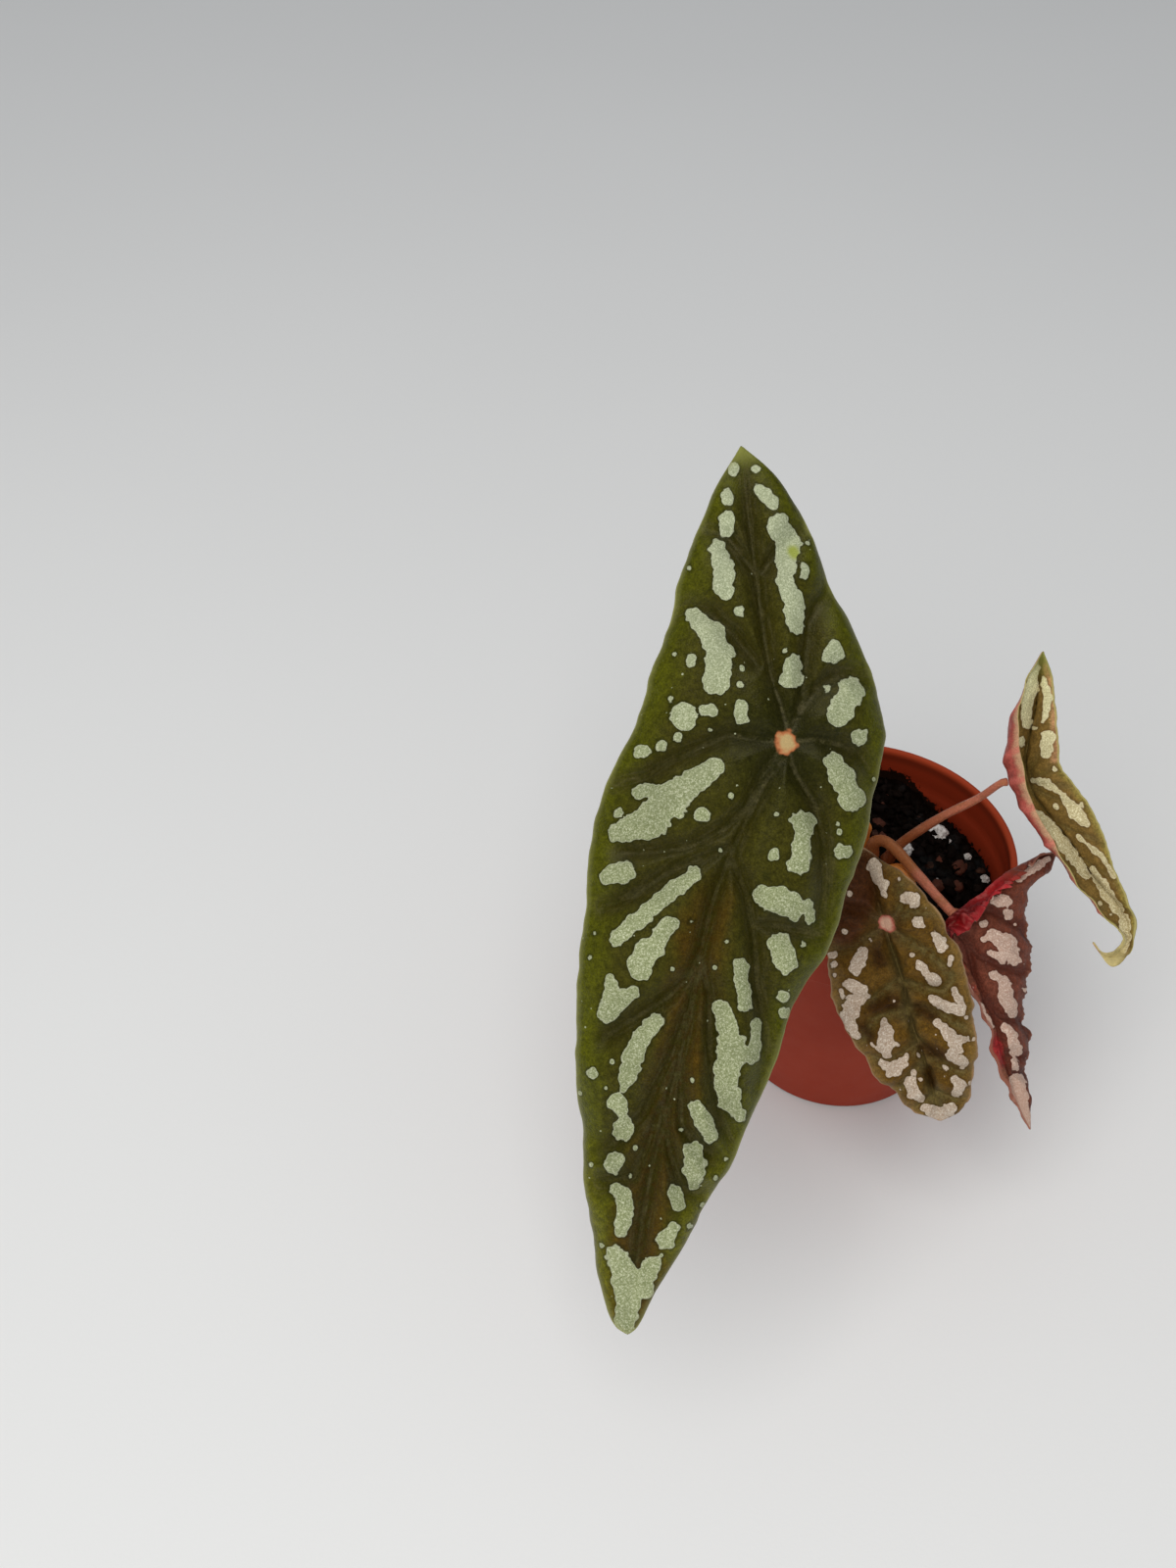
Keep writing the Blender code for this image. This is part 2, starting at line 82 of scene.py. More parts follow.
# Pot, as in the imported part
POT_HEIGHT = 58.0
POT_RIM_RADIUS = 30.0
POT_BASE_RADIUS = 21.5
POT_WALL = 1.2
POT_FLOOR = 1.6
COLLAR_HEIGHT = 9.0
COLLAR_STEP = 0.6
COLLAR_INSET = 0.4
COLLAR_ROUND = 0.3
SHARP_EDGE = math.radians(50)
LIP_ROUND = 0.7
FOOT_ROUND = 1.0
FOOT_RING = 3.0
BASE_RECESS = 0.5
INSIDE_ROUND = 1.2
POT_SIDES = 192
DRAIN_HOLES = 6
DRAIN_HOLE_RADIUS = 2.5
DRAIN_CUT = 6.0
DRAIN_CIRCLE_RADIUS = 14.0

# Soil: level, mound, the slump beside the wall on the right, and the grains that show,
# as x, y, radius and kind
SOIL_LEVEL = 51.0
SOIL_MOUND = 1.2
SOIL_MOUND_REACH = 56.0
SOIL_ROUGHNESS = 1.3
SOIL_RINGS = 110
SOIL_SIDE_RINGS = 12
SOIL_SECTORS = 260
SOIL_GAP = 0.3
SLUMP = 5.0
SLUMP_WAY = math.radians(4)
SLUMP_START = 17.0
GRAINS = (
    (17.2, 9.7, 2.1, "perlite"), (9.2, 3.7, 1.8, "perlite"), (23.3, 6.9, 0.8, "perlite"),
    (26.0, 1.4, 1.0, "perlite"), (19.5, 0.4, 1.6, "bark"), (14.0, -6.7, 1.6, "bark"),
    (18.8, -4.2, 1.5, "bark"), (12.0, -13.5, 1.7, "bark"), (-8.0, 9.0, 1.8, "perlite"),
    (-15.0, -6.0, 2.0, "bark"), (-4.0, 17.0, 1.6, "perlite"), (5.0, 12.0, 1.5, "bark"),
    (-19.0, 6.0, 1.7, "perlite"), (-8.5, -17.0, 1.8, "bark"), (4.0, -20.0, 1.5, "perlite"),
)

# Loose lumps on the soil: how many, the smallest and largest, how flat and how pale
CRUMBS = SimpleNamespace(count=2000, small=0.25, large=1.5, flat=(0.35, 0.8), tones=(0.0, 0.6))
SMALL_PERLITE = SimpleNamespace(count=14, small=0.25, large=0.9, flat=(0.6, 0.9), tones=(0.3, 1.0))
SMALL_BARK = SimpleNamespace(count=70, small=0.4, large=1.3, flat=(0.3, 0.6), tones=(0.0, 1.0))

# Stem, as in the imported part
STEM_AT = (0.0, -5.0)
STEM_RADIUS = 2.3
STEM_BOTTOM = 38.0
STEM_TOP = 60.5
STEM_CROWN = 0.6
STEM_RINGS = 120
STEM_SIDES = 32
STEM_NODES = (54.0, 58.0)
STEM_NODE_SWELL = 0.35
STEM_NODE_LENGTH = 0.55
STEM_CROWN_LENGTH = 1.8
STEM_FLUTES = 0.02

# Colours of the pieces that aren't blades. Some paint light: the pot's inside red paints light bounced
# inside it, its lip colour is a painted highlight and its dark band under the lip a painted shadow, the
# soil's grey patches are partly dust and partly a painted sheen, and the stipule's colours are lighter
# than its own to light it in its shade.
COLOURS = SimpleNamespace(
    floor=(0.8, 0.8, 0.79), pot=(0.272, 0.037, 0.0185), pot_cloud=(0.298, 0.043, 0.022),
    pot_scuff=(0.325, 0.056, 0.032), pot_inside_bounce=(0.27, 0.03, 0.01), pot_lip_highlight=(0.41, 0.056, 0.019),
    pot_shadow=(0.08, 0.014, 0.006), pot_dirt=(0.012, 0.005, 0.003),
    soil=(0.0022, 0.001, 0.0006), soil_pale=(0.006, 0.0024, 0.0014), grit=(0.02, 0.008, 0.004),
    soil_dust_and_sheen=(0.013, 0.015, 0.016), crumb=(0.002, 0.001, 0.0007), crumb_pale=(0.012, 0.007, 0.0058),
    perlite=(0.33, 0.29, 0.25), perlite_pale=(0.78, 0.74, 0.7), bark=(0.016, 0.006, 0.004),
    bark_pale=(0.095, 0.026, 0.015), bark_grit=(0.085, 0.04, 0.024), cane=(0.11, 0.036, 0.016),
    cane_pale=(0.24, 0.1, 0.045), stalk_foot=(0.24, 0.068, 0.02), stalk_head=(0.46, 0.15, 0.088),
    stalk_blotch=(0.34, 0.122, 0.056), sheath=(0.31, 0.1, 0.03), stipule=(0.68, 0.2, 0.024),
    stipule_pale=(0.8, 0.28, 0.05), stipule_tip=(0.64, 0.29, 0.1),
)

# Leaves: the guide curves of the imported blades, from base to tip
LEAVES = {
    "large": SimpleNamespace(
        midrib=((-28.5, 14, 140.5), (-27.5, 2.5, 133.5), (-25, -17.5, 120.5), (-22, -29.5, 112.5),
                (-26.5, -36, 108), (-34.5, -50, 96.5), (-39, -66, 82.5), (-44.5, -81.5, 66.5),
                (-48, -98, 47.5)),
        left=((-34, 6, 134.5), (-38.5, -4, 128), (-41.5, -12.5, 121.5), (-47, -25, 111),
              (-52.5, -33.5, 102.5), (-54.3, -44.5, 96), (-56.2, -61.5, 83), (-55.6, -72, 70.5),
              (-53.6, -86, 56.5), (-51.7, -93.5, 51), (-50.1, -96.8, 48.5)),
        right=((-21, 9, 135.5), (-15.5, -1, 128), (-11, -10.5, 121.5), (-6.5, -18.5, 114.5),
               (-6, -27.5, 107), (-9.8, -40, 99.5), (-14.7, -51, 90), (-21.9, -61, 81.5),
               (-26.5, -71, 74), (-34.5, -82, 62.5), (-42.6, -92, 53.5), (-46.1, -96.7, 48.6)),
        stalk_at=(0.345, -0.014),
        panel_rise=2.4, panel_length=15.0, panel_width=2.4,
        ripple=0.5, ripple_length=17.0, tooth=(0.18, 0.18), tooth_length=5.0, jagged=0.0,
        pucker=0.2, pucker_length=4.5, rib_depth=0.8, groove=0.25,
        grid=(331, 113), lobe=2.2, thickness=0.5, slot="leaf_green",
    ),
    "front": SimpleNamespace(
        midrib=((-6, -21, 80), (-3.5, -25.5, 75), (-1, -30, 68.5), (0.5, -33, 65), (2.5, -37, 60.5),
                (4, -41.5, 55.5), (6, -45.5, 51), (8, -49.5, 46), (9.5, -53, 41)),
        left=((-9, -22, 77), (-11.5, -25, 72.5), (-12.5, -29.5, 67.5), (-11, -34.5, 62.5),
              (-9.5, -39.5, 56), (-6, -43.5, 51.5), (-2.5, -47, 47.5), (1, -49, 44.5),
              (5, -51.5, 42)),
        right=((0.5, -24, 77), (5.5, -27.5, 74.5), (9, -31.5, 71), (12, -36, 67), (13.5, -39.5, 63),
               (14.5, -43.5, 58.5), (15, -47.5, 53.5), (14.5, -50.5, 47.5), (13.5, -51.5, 42.5)),
        stalk_at=(0.29, 0.05),
        panel_rise=2.2, panel_length=7.5, panel_width=1.7,
        ripple=0.7, ripple_length=7.5, tooth=(0.35, 0.35), tooth_length=2.6, jagged=0.15,
        pucker=0.36, pucker_length=2.6, rib_depth=0.6, groove=0.1,
        grid=(221, 121), lobe=1.6, thickness=0.45, slot="leaf_bronze",
    ),
    "folded": SimpleNamespace(
        midrib=((35, -8.5, 65), (25.5, -15.5, 67), (18, -21.5, 66), (11.5, -26.5, 64.5),
                (15, -29, 61.5), (17, -33, 55.5), (20.5, -37.5, 50.5), (22, -41.5, 45.5),
                (24, -45.5, 40), (28, -49.5, 33)),
        left=((29.5, -13, 68), (24.5, -19.5, 68.5), (19.5, -23.5, 69), (17, -27.5, 68.5),
              (13.5, -30.5, 67), (11.5, -30, 65), (13, -32.5, 60.5), (16.5, -37, 55),
              (19, -40.5, 51.5), (19.5, -43.5, 48), (22, -46.5, 43.5), (24.5, -47.5, 38.5)),
        left_middle=((30.5, -11, 66), (24.5, -17.5, 69), (17.5, -23.5, 68.5), (10.5, -28, 66.5),
                     (11.5, -29.5, 62.5), (15, -33.5, 57), (19, -38.5, 50), (20, -42, 46.5),
                     (23, -45.5, 41)),
        right=((33, -12, 63.5), (29, -15, 63), (28, -17.5, 61), (28, -21, 58), (29, -25, 54),
               (28, -29, 50.5), (27, -34, 46), (28.5, -36, 44), (27.5, -41, 39), (28, -46, 35)),
        stalk_at=(0.37, 0.0),
        panel_rise=1.4, panel_length=7.0, panel_width=1.4, frill=(1.0, 3.6, 0.1, 0.5),
        ripple=0.3, ripple_length=5.5, tooth=(0.10, 0.26), tooth_length=1.4, jagged=0.6,
        pucker=0.2, pucker_length=2.0, rib_depth=0.5, groove=0.15,
        grid=(261, 101), lobe=1.5, thickness=0.4, slot="leaf_red",
    ),
    "curled": SimpleNamespace(
        midrib=((27.5, 4, 104), (27, -0.5, 95), (26, -4, 90), (25.5, -7, 86), (27, -11, 82.5),
                (31, -15, 79), (34, -18.5, 76.5), (37, -22.5, 73.5), (40.5, -26, 71.5),
                (43, -29, 69.5), (42.5, -33, 68), (40, -36, 67), (37.5, -36, 67), (35.5, -34, 68.5)),
        left=((24.5, -0.5, 102.5), (23, -3.5, 100.5), (22, -8.5, 96.5), (23, -14, 91),
              (25, -17.5, 86), (28.5, -21.5, 81.5), (32, -26.5, 77), (36.5, -30, 73),
              (39.5, -32.5, 70.5), (41, -34, 69), (39.5, -35.5, 68), (37, -36, 68)),
        left_middle=((25, 1, 101), (22.5, -3.5, 96), (20.5, -8.5, 91.5), (21.5, -12, 87),
                     (24.5, -17, 82.5), (27.5, -20, 79.5), (31, -22.5, 76.5), (35, -26.5, 73),
                     (38.5, -30, 70.5), (41.5, -33, 68.5), (40, -35.5, 67), (37.5, -36, 67)),
        right=((29, 0.5, 101), (29.5, -4, 97), (30, -8.5, 92.5), (30.5, -10.5, 89.5), (33, -13, 87),
               (36, -16, 84), (38.5, -20, 80), (40, -24, 76.5), (42, -28.5, 73.5), (43.5, -31.5, 70),
               (42, -35.5, 67), (38.5, -37.5, 66)),
        stalk_at=(0.36, -0.45),
        panel_rise=0.5, panel_length=8.0, panel_width=1.8,
        ripple=0.25, ripple_length=7.0, tooth=(0.12, 0.12), tooth_length=1.8, jagged=0.3,
        pucker=0.14, pucker_length=2.0, rib_depth=0.4, groove=0.1,
        grid=(241, 81), lobe=1.8, thickness=0.4, slot="leaf_olive",
    ),
}
VEIN_ANGLE = math.radians(52)
RAY_ANGLE = math.radians(32)

# Veins that show as grooves, from the stalk point or the midrib outwards (right, down)
VEINS = {
    "large": (
        ((-4.7, -12.7), (-8.4, -17.4), (-12, -20.7), (-15.6, -21.8), (-19, -20.5)),
        ((-4.8, -27), (-7.5, -30.8), (-9.5, -33.3), (-12.5, -34.5)),
        ((-3.9, -27.5), (-1.6, -30.6), (2.9, -34), (4.2, -35)),
        ((0, 0), (2.6, -6.5), (3.1, -13.8), (3.8, -19.3), (5.5, -22.5), (7.5, -25)),
        ((0, 0), (2.5, -5), (5, -8.8), (8.5, -11), (13.5, -11.2)),
        ((0, 0), (4.4, -0.4), (8.4, 0.4), (11.6, 1.5), (13.5, 4.4)),
        ((0, 0), (-2.5, -0.2), (-9.1, -1.1), (-13.5, 0.7), (-18.9, 3.3), (-22.6, 5.5),
         (-27.5, 6.6)),
        ((0, 0), (-3.3, 4.9), (-6.2, 10.7), (-9.8, 14), (-15.3, 16.9), (-20.7, 17.6),
         (-26.2, 18)),
        ((-8.5, 17), (-13, 18.6), (-17.8, 20.3), (-23.5, 24.2), (-29.5, 26.5)),
        ((-13.5, 33), (-15.5, 38), (-19, 41.2), (-23.5, 44), (-29, 47.5)),
        ((-16, 44), (-18.3, 50.5), (-21, 56), (-23, 60.5), (-28.5, 65.3)),
        ((-20.5, 60), (-22.5, 66), (-24.5, 70.2), (-29.5, 71)),
        ((0, 0), (1.5, 5), (4.6, 10), (6, 16), (6.3, 24), (5.5, 31)),
        ((-8.8, 19), (-6.5, 24), (-5.1, 31.4), (-4.7, 38.7), (-3.3, 46), (-2.9, 50.7),
         (-4, 55.1)),
        ((-5.3, 29.5), (-2, 29.6), (2.5, 30.5), (5.5, 31)),
        ((-13.8, 35), (-12.3, 41), (-12.3, 48), (-11.8, 55), (-10.2, 61),
         (-8.5, 64.5)),
        ((-17.2, 50), (-17, 56), (-16.8, 62), (-15, 64.4), (-12, 66.5)),
        ((-20, 59), (-18.8, 66), (-17, 71.8), (-14, 73)),
    ),
    "front": (
        ((0, 0), (-2.9, 1.9), (-5.6, 3.5), (-7.6, 4.5), (-10, 4.5)),
        ((0, 0), (-4.5, -2.2), (-8, -3), (-11, -3)),
        ((0, 0), (2.2, -2.2), (3, -4.6), (2, -6.5), (3.5, -8)),
        ((0, 0), (3.9, -1.9), (7.6, -2.4), (10, -1.5)),
        ((0, 0), (3.2, 2.5), (7.6, 5.2), (10.3, 7.9), (11.8, 9.5)),
        ((2.2, 10.6), (4.5, 10.6), (6.9, 11.6), (10.3, 12), (12, 9.6)),
        ((3.7, 15.3), (6.6, 15), (8.9, 15.7), (12.3, 17.7), (15.3, 19.6)),
        ((5.6, 20.7), (7.6, 22.7), (10.3, 25.1), (12.4, 26.2), (15.7, 26.6)),
        ((9.2, 30), (11.4, 31), (14.5, 31)),
        ((1.9, 10.3), (-0.2, 11.6), (-2.6, 13.6), (-6, 13.6), (-9, 14.5)),
        ((3.9, 16), (1, 15.8), (-2.5, 17.4), (-3.8, 20), (-5.5, 22)),
        ((5.9, 21.4), (3.9, 22.4), (1, 24.6), (-2.5, 24.2)),
        ((7.6, 26), (5.6, 25.6), (3.6, 27.8), (2.2, 29.4)),
        ((9.3, 30.5), (8.2, 31), (6.5, 32), (5.2, 33)),
    ),
    "folded": (
        ((1.5, 0.4), (5.4, -0.7), (8.6, 0.8), (11.1, 2.2), (12.9, 4.3)),
        ((1.2, 4.6), (3.6, 7.6), (7.5, 9.4), (11.1, 10.4), (13.4, 10.8)),
        ((4.8, 15.8), (7.4, 18.6), (11.1, 19.8), (13.2, 22.8)),
        ((8.6, 25.4), (12.4, 26)),
        ((10, 29), (12.6, 28.9)),
    ),
    "curled": (),
}

# Spots: each a chain of discs. A chain of one disc is a round spot.
SPOTS = {
    "large": (
        ((-8.4, -44.5, 0.9), (-8.4, -43.9, 0.85)), ((-4.8, -44, 0.75),),
        ((-9.4, -40, 1.1), (-9.4, -39.3, 1.1)),
        ((-4, -40.7, 1.2), (-2.2, -38.7, 1.2)),
        ((-9.4, -36, 1.4), (-9.4, -34.4, 1.4)),
        ((-11.1, -31.3, 1.5), (-10, -28.5, 1.6), (-9.9, -25, 1.9)),
        ((-1, -35.2, 1.9), (0.5, -32, 2.1), (0.2, -29.6, 1.7), (-0.2, -26.5, 1.35),
         (1.2, -23.2, 1.7), (1.6, -18.9, 1.5)),
        ((3.6, -32.3, 0.5),), ((3.1, -28.4, 0.75), (3.1, -26.9, 0.7)), ((-7.5, -21.1, 0.95),),
        ((-14.9, -20.4, 1.4), (-12.3, -18, 2), (-10.5, -14.8, 2.3), (-11.4, -9.6, 2.2)),
        ((-15.4, -13.4, 1),), ((1.2, -12.5, 1.6), (0.9, -10.6, 2)), ((0, -14.9, 0.5),),
        ((7.7, -14.5, 1.9),), ((10.6, -8.3, 2.1), (8.8, -4.4, 2.2)), ((6.7, -8.7, 0.75),),
        ((11.5, -0.9, 1.2), (12.5, -0.9, 1.2)), ((-7.1, -5.4, 1.3), (-7.1, -4, 1.2)),
        ((-7.3, -9.4, 0.7),), ((-7, -12, 0.45),),
        ((-13.2, -5.1, 0.9), (-11.8, -5.2, 1)), ((-16.4, -4.2, 2.3),),
        ((-17.5, -0.8, 0.9),), ((-20.2, 0.5, 1),), ((-23.2, 1.4, 1.35),),
        ((-18.7, -6.9, 0.5),), ((-18, -14.2, 0.35),), ((-15.5, -28.1, 0.35),),
        ((-12.3, -2.1, 0.35),),
        ((-11.6, 4.1, 1.7), (-15.2, 6.4, 2), (-19, 9.6, 2.9), (-22, 13, 2.8),
         (-27.2, 14.6, 1.6)),
        ((-23.9, 8.1, 1.1), (-22, 7.7, 1.2)), ((-27, 11.4, 0.8),), ((-13.5, 11.7, 1.45),),
        ((-8.8, 8.6, 0.5),), ((-28, 21.5, 1.9), (-26.2, 21, 1.9)),
        ((-14.8, 21.4, 1.3), (-19.5, 25, 1.5), (-23.5, 28.4, 1.5), (-27.2, 31.6, 1.3)),
        ((-18.8, 29.3, 1.4), (-20.6, 32.2, 1.6), (-22.8, 34.4, 2.2), (-23.6, 36.6, 2.1)),
        ((-28.4, 38.2, 0.8), (-28.2, 41.5, 1.6)),
        ((-24.7, 40.5, 1.1), (-27.3, 42, 2), (-28.9, 44, 1.5)),
        ((-20.9, 45, 1.4), (-23.4, 48, 1.6), (-24.9, 51, 1.6), (-25.5, 54, 1.5),
         (-26.4, 56.2, 0.6)),
        ((-31.3, 53.5, 0.9),), ((-28.1, 51.6, 0.4),), ((-29.1, 55.8, 0.4),),
        ((-30.9, 30.9, 0.4),), ((-31.5, 34.7, 0.4),),
        ((7.7, 3.2, 1.6), (9.4, 6, 2), (10.7, 9, 2.1)), ((14.3, 6, 0.4),),
        ((8.4, 13.2, 0.5),), ((8.6, 14.6, 0.5),), ((8.9, 17.7, 1.2), (9.9, 17.8, 1.1)),
        ((2.9, 13, 2), (2.7, 16, 1.3), (2.1, 19.6, 1.9)), ((-2, 18.2, 0.95),),
        ((-1.6, 11.6, 0.45),), ((-3.3, 21.7, 0.45),),
        ((-3.5, 24.6, 1.8), (-0.5, 25.8, 2.5), (1.4, 26.8, 2)),
        ((3.6, 26.2, 0.85), (4, 28.4, 0.9)), ((-0.9, 32.7, 2), (-0.1, 35.6, 1.9)),
        ((2.9, 32.7, 0.45),), ((-7.3, 36, 1.2), (-7.1, 39, 1.4), (-6.5, 42.4, 1.2)),
        ((-0.4, 41.1, 1.2),), ((-0.2, 43.8, 1),),
        ((-10.5, 42.9, 1.4), (-8.6, 48.5, 2.2), (-9.6, 55.1, 2.2), (-9, 58.3, 1.7),
         (-7.5, 60.3, 1.1)),
        ((-4.7, 45.6, 0.9), (-5.1, 51, 1), (-7.5, 50, 1.5)),
        ((-15.2, 29, 0.4),), ((-9.6, 32.3, 0.45),), ((-11.3, 36.4, 0.4),),
        ((-18.4, 36.6, 0.4),), ((-10.5, 17.6, 0.4),),
        ((-27.1, 58.3, 1.75), (-26.4, 60.4, 0.8), (-26.1, 62.7, 1.9)), ((-27.6, 67.9, 1.7),),
        ((-27.3, 72.3, 1.1), (-26.2, 73.3, 1.4), (-26, 76, 1.5), (-26.6, 79, 1.1)),
        ((-27.4, 82.9, 1.6), (-25.2, 87.4, 3), (-25.5, 91.8, 1.7), (-25.9, 94.6, 2)),
        ((-21.7, 84.6, 1.6), (-23.5, 88, 2.2)),
        ((-14.6, 58.9, 1.2), (-13.1, 61.4, 1.6), (-12, 63.5, 1.3)),
        ((-14.9, 66.2, 1.6), (-14.7, 68.8, 1.9), (-14.9, 71.3, 1.2)),
        ((-17.9, 72.7, 1.25), (-17.4, 74.7, 1.2)), ((-18.2, 78.7, 1.1), (-19.4, 80.5, 1.55)),
        ((-31.4, 68.2, 0.4),), ((-25, 70, 0.35),), ((-24.3, 65.5, 0.4),),
        ((-16.9, 62.7, 0.35),), ((-11.3, 70.5, 0.4),), ((-9.8, 67.4, 0.4),),
        ((-13.5, 74.7, 0.4),), ((-15.5, 78.2, 0.4),), ((-20.1, 83, 0.3),),
        ((-29.6, 81.3, 0.4),), ((-33.4, 56.7, 0.35),), ((-15, 54.5, 0.35),),
    ),
    "front": (
        ((-2.2, -10.2, 1.3), (-1.8, -8.3, 1.05), (-0.5, -7, 0.85), (-0.4, -5.3, 0.55)),
        ((2.2, -7.9, 0.35),), ((3.1, -4.6, 0.95), (4.9, -4.5, 1.15), (4.9, -3.4, 0.9)),
        ((5.6, -0.2, 1), (6.5, 0.5, 0.7)), ((8.7, 2.1, 0.75), (9.4, 3.1, 1.2), (9.9, 4.3, 1.05)),
        ((11.5, 6.4, 0.6), (11.3, 7.2, 0.6)), ((4.4, 5.6, 0.45),), ((-2.9, 2.9, 0.35),),
        ((5.9, 7.4, 0.75), (7.1, 8.9, 0.8), (8.8, 10.4, 1.1)),
        ((8.4, 13.6, 0.95), (10.8, 14.9, 1), (13.2, 15.6, 1.2)),
        ((12, 11.8, 0.65), (12.6, 13.3, 0.6), (13.5, 14.8, 0.9)), ((14.3, 16.9, 0.45),),
        ((-7.5, 1.5, 0.6),), ((-9.6, 5.7, 0.8),), ((-9.6, 7.4, 0.7),), ((-9.4, 9.1, 0.4),),
        ((-4.2, 5.1, 1), (-4.9, 6.6, 1.3), (-5.6, 8.3, 1.15)),
        ((-6.8, 11, 1.2), (-4.5, 12.5, 1.4), (-6.3, 15.2, 1.7), (-6.9, 17.4, 1.5),
         (-5.4, 20.2, 0.6)),
        ((-8.3, 12, 0.4), (-8, 13.4, 0.4)), ((1.3, 13.8, 0.4),),
        ((-0.5, 17.8, 0.9), (-0.1, 19.7, 1.3), (-0.4, 22, 1.6), (0, 23.5, 0.9)),
        ((-2.8, 21.6, 0.45), (-1.6, 22.5, 0.4)), ((0, 21.7, 0.8), (1.8, 21.7, 0.4)),
        ((-0.9, 24.9, 0.65), (0.9, 26.3, 1.35), (3, 25, 0.9), (3.5, 23.7, 0.55)),
        ((4.8, 26.7, 0.55),), ((6, 28, 0.45),),
        ((4.2, 28.5, 1.1), (4.9, 30.3, 1.3), (6.2, 31.4, 0.8)),
        ((6.8, 33, 0.8), (9.3, 34.4, 1.4), (11.5, 33.2, 1.1)),
        ((9, 17.7, 0.7), (10.8, 19.3, 1), (12.2, 20.9, 1.4), (12.5, 22.7, 1.1),
         (11.6, 23.8, 1.1), (13.6, 24.9, 1.15)),
        ((12.6, 21.2, 0.6), (14.4, 20.7, 0.5)), ((10.6, 26, 0.55),), ((15.1, 28.5, 0.4),),
        ((12.1, 27.9, 0.85), (13.2, 29, 1.1), (12.5, 30.4, 0.95)), ((15.6, 20.9, 0.35),),
        ((5.7, 23.6, 0.35),), ((-9.8, -9, 1.3), (-8.6, -7.4, 1.1)), ((-8, -13, 1),),
        ((-10.6, -1.6, 1.1), (-10.2, 0.2, 1)), ((-4.6, -15, 0.8),), ((-6.7, -5.2, 0.6),),
    ),
    "folded": (
        ((16.6, -10.3, 0.5), (15.2, -9.3, 0.75), (13.1, -8, 0.8), (11.1, -6.5, 0.7)),
        ((6.8, -2.3, 1), (9.1, -2.6, 1.1)), ((9.3, -0.1, 1),), ((4.8, 1.8, 0.8),),
        ((6.3, 3.8, 1.2), (9, 5.6, 1.9), (10.2, 8, 1.5)), ((4.5, 4.5, 0.5), (6, 4.4, 0.6)),
        ((5.9, 7.3, 0.6), (8.2, 8, 1.1)),
        ((6.6, 11.1, 0.8), (8.6, 12.4, 1), (8.8, 15.3, 1.6), (10, 17.6, 1.3)),
        ((8.6, 20.6, 0.9), (10, 22.4, 1), (10.6, 24.9, 1.2)), ((10.4, 26.8, 0.7), (10.6, 28, 0.8)),
        ((10.9, 30.7, 1.5), (11.3, 33, 1.5), (12.2, 35.8, 1.1), (13, 38.8, 0.8)),
        ((10.6, 1.9, 0.35),), ((12.1, 13.8, 0.45),), ((12.1, 9.2, 0.3),),
        ((1.2, 11.4, 0.35), (3.1, 16, 0.4)), ((4, 16.4, 0.45), (6.3, 20.6, 0.45)),
    ),
    "curled": (
        ((4.8, -22.6, 0.4), (4.4, -19.5, 1), (3.8, -16.6, 1.2), (3.1, -13.2, 1.2), (3, -10.2, 0.85)),
        ((6, -18.6, 0.5), (6.9, -14.8, 0.9), (5.9, -10.5, 0.45)), ((4.4, -9.4, 0.45),), ((2.1, -7, 0.9),),
        ((6.9, -7.9, 1.4), (6.5, -5.2, 1.15)), ((8, -2.1, 0.6),),
        ((4.2, -0.1, 0.5), (7, 0.6, 0.8), (9, 2.1, 0.5)),
        ((9.6, 2.7, 0.7), (11.4, 5.2, 1.3), (13.2, 7.2, 1.2)), ((8.4, 4.7, 0.6),),
        ((12.9, 4.3, 0.5),),
        ((4, 5, 0.6), (7, 8, 1.2), (9.8, 11.5, 1.3), (13.9, 17, 0.8)),
        ((12.1, 9.8, 0.45), (16.4, 13.5, 0.5), (18.8, 17.4, 0.45)),
        ((14.9, 15.9, 0.6), (17, 19.6, 1.2), (19.6, 23.4, 1)), ((16.2, 22.1, 0.45),),
        ((18, 24.1, 0.35),), ((20.5, 24.5, 0.8), (20.9, 28, 1.1), (20.6, 30.4, 0.7)),
    ),
}

# Places where a blade has another tint
TINTS = {
    "large": (((1.2, -30.9, 0.9), (1.5, -30.4, 0.8)),),
    "front": (((-4.5, -12, 2.4), (-5.5, -5, 3), (-7.5, 1, 2)),),
    "folded": (((5.6, 21.5, 0.7), (6.6, 24.3, 1.3), (7.4, 27.4, 0.9)),
               ((2.4, 13.6, 0.3), (3.6, 17.4, 0.5), (4.8, 20.4, 0.5))),
    "curled": (((6.6, -20.8, 0.3), (7.7, -14, 0.5), (8.3, -8.2, 0.8), (8.1, -3.8, 0.7)),),
}

# Dark hollows between the front leaf's veins
HOLLOWS = (
    ((-1.9, 5, 1.2), (-1.2, 6.6, 1.4)), ((-2.6, 15.2, 1), (1, 14.2, 1.2)),
    ((5.4, 15.3, 0.8), (8.4, 16.8, 0.8)), ((6.6, 22.2, 0.8), (10.4, 23.6, 0.7)),
    ((7.5, 26.5, 0.9), (8.3, 28.6, 0.8)), ((-4.2, 18.4, 0.8), (-2.6, 20.4, 0.7)),
)
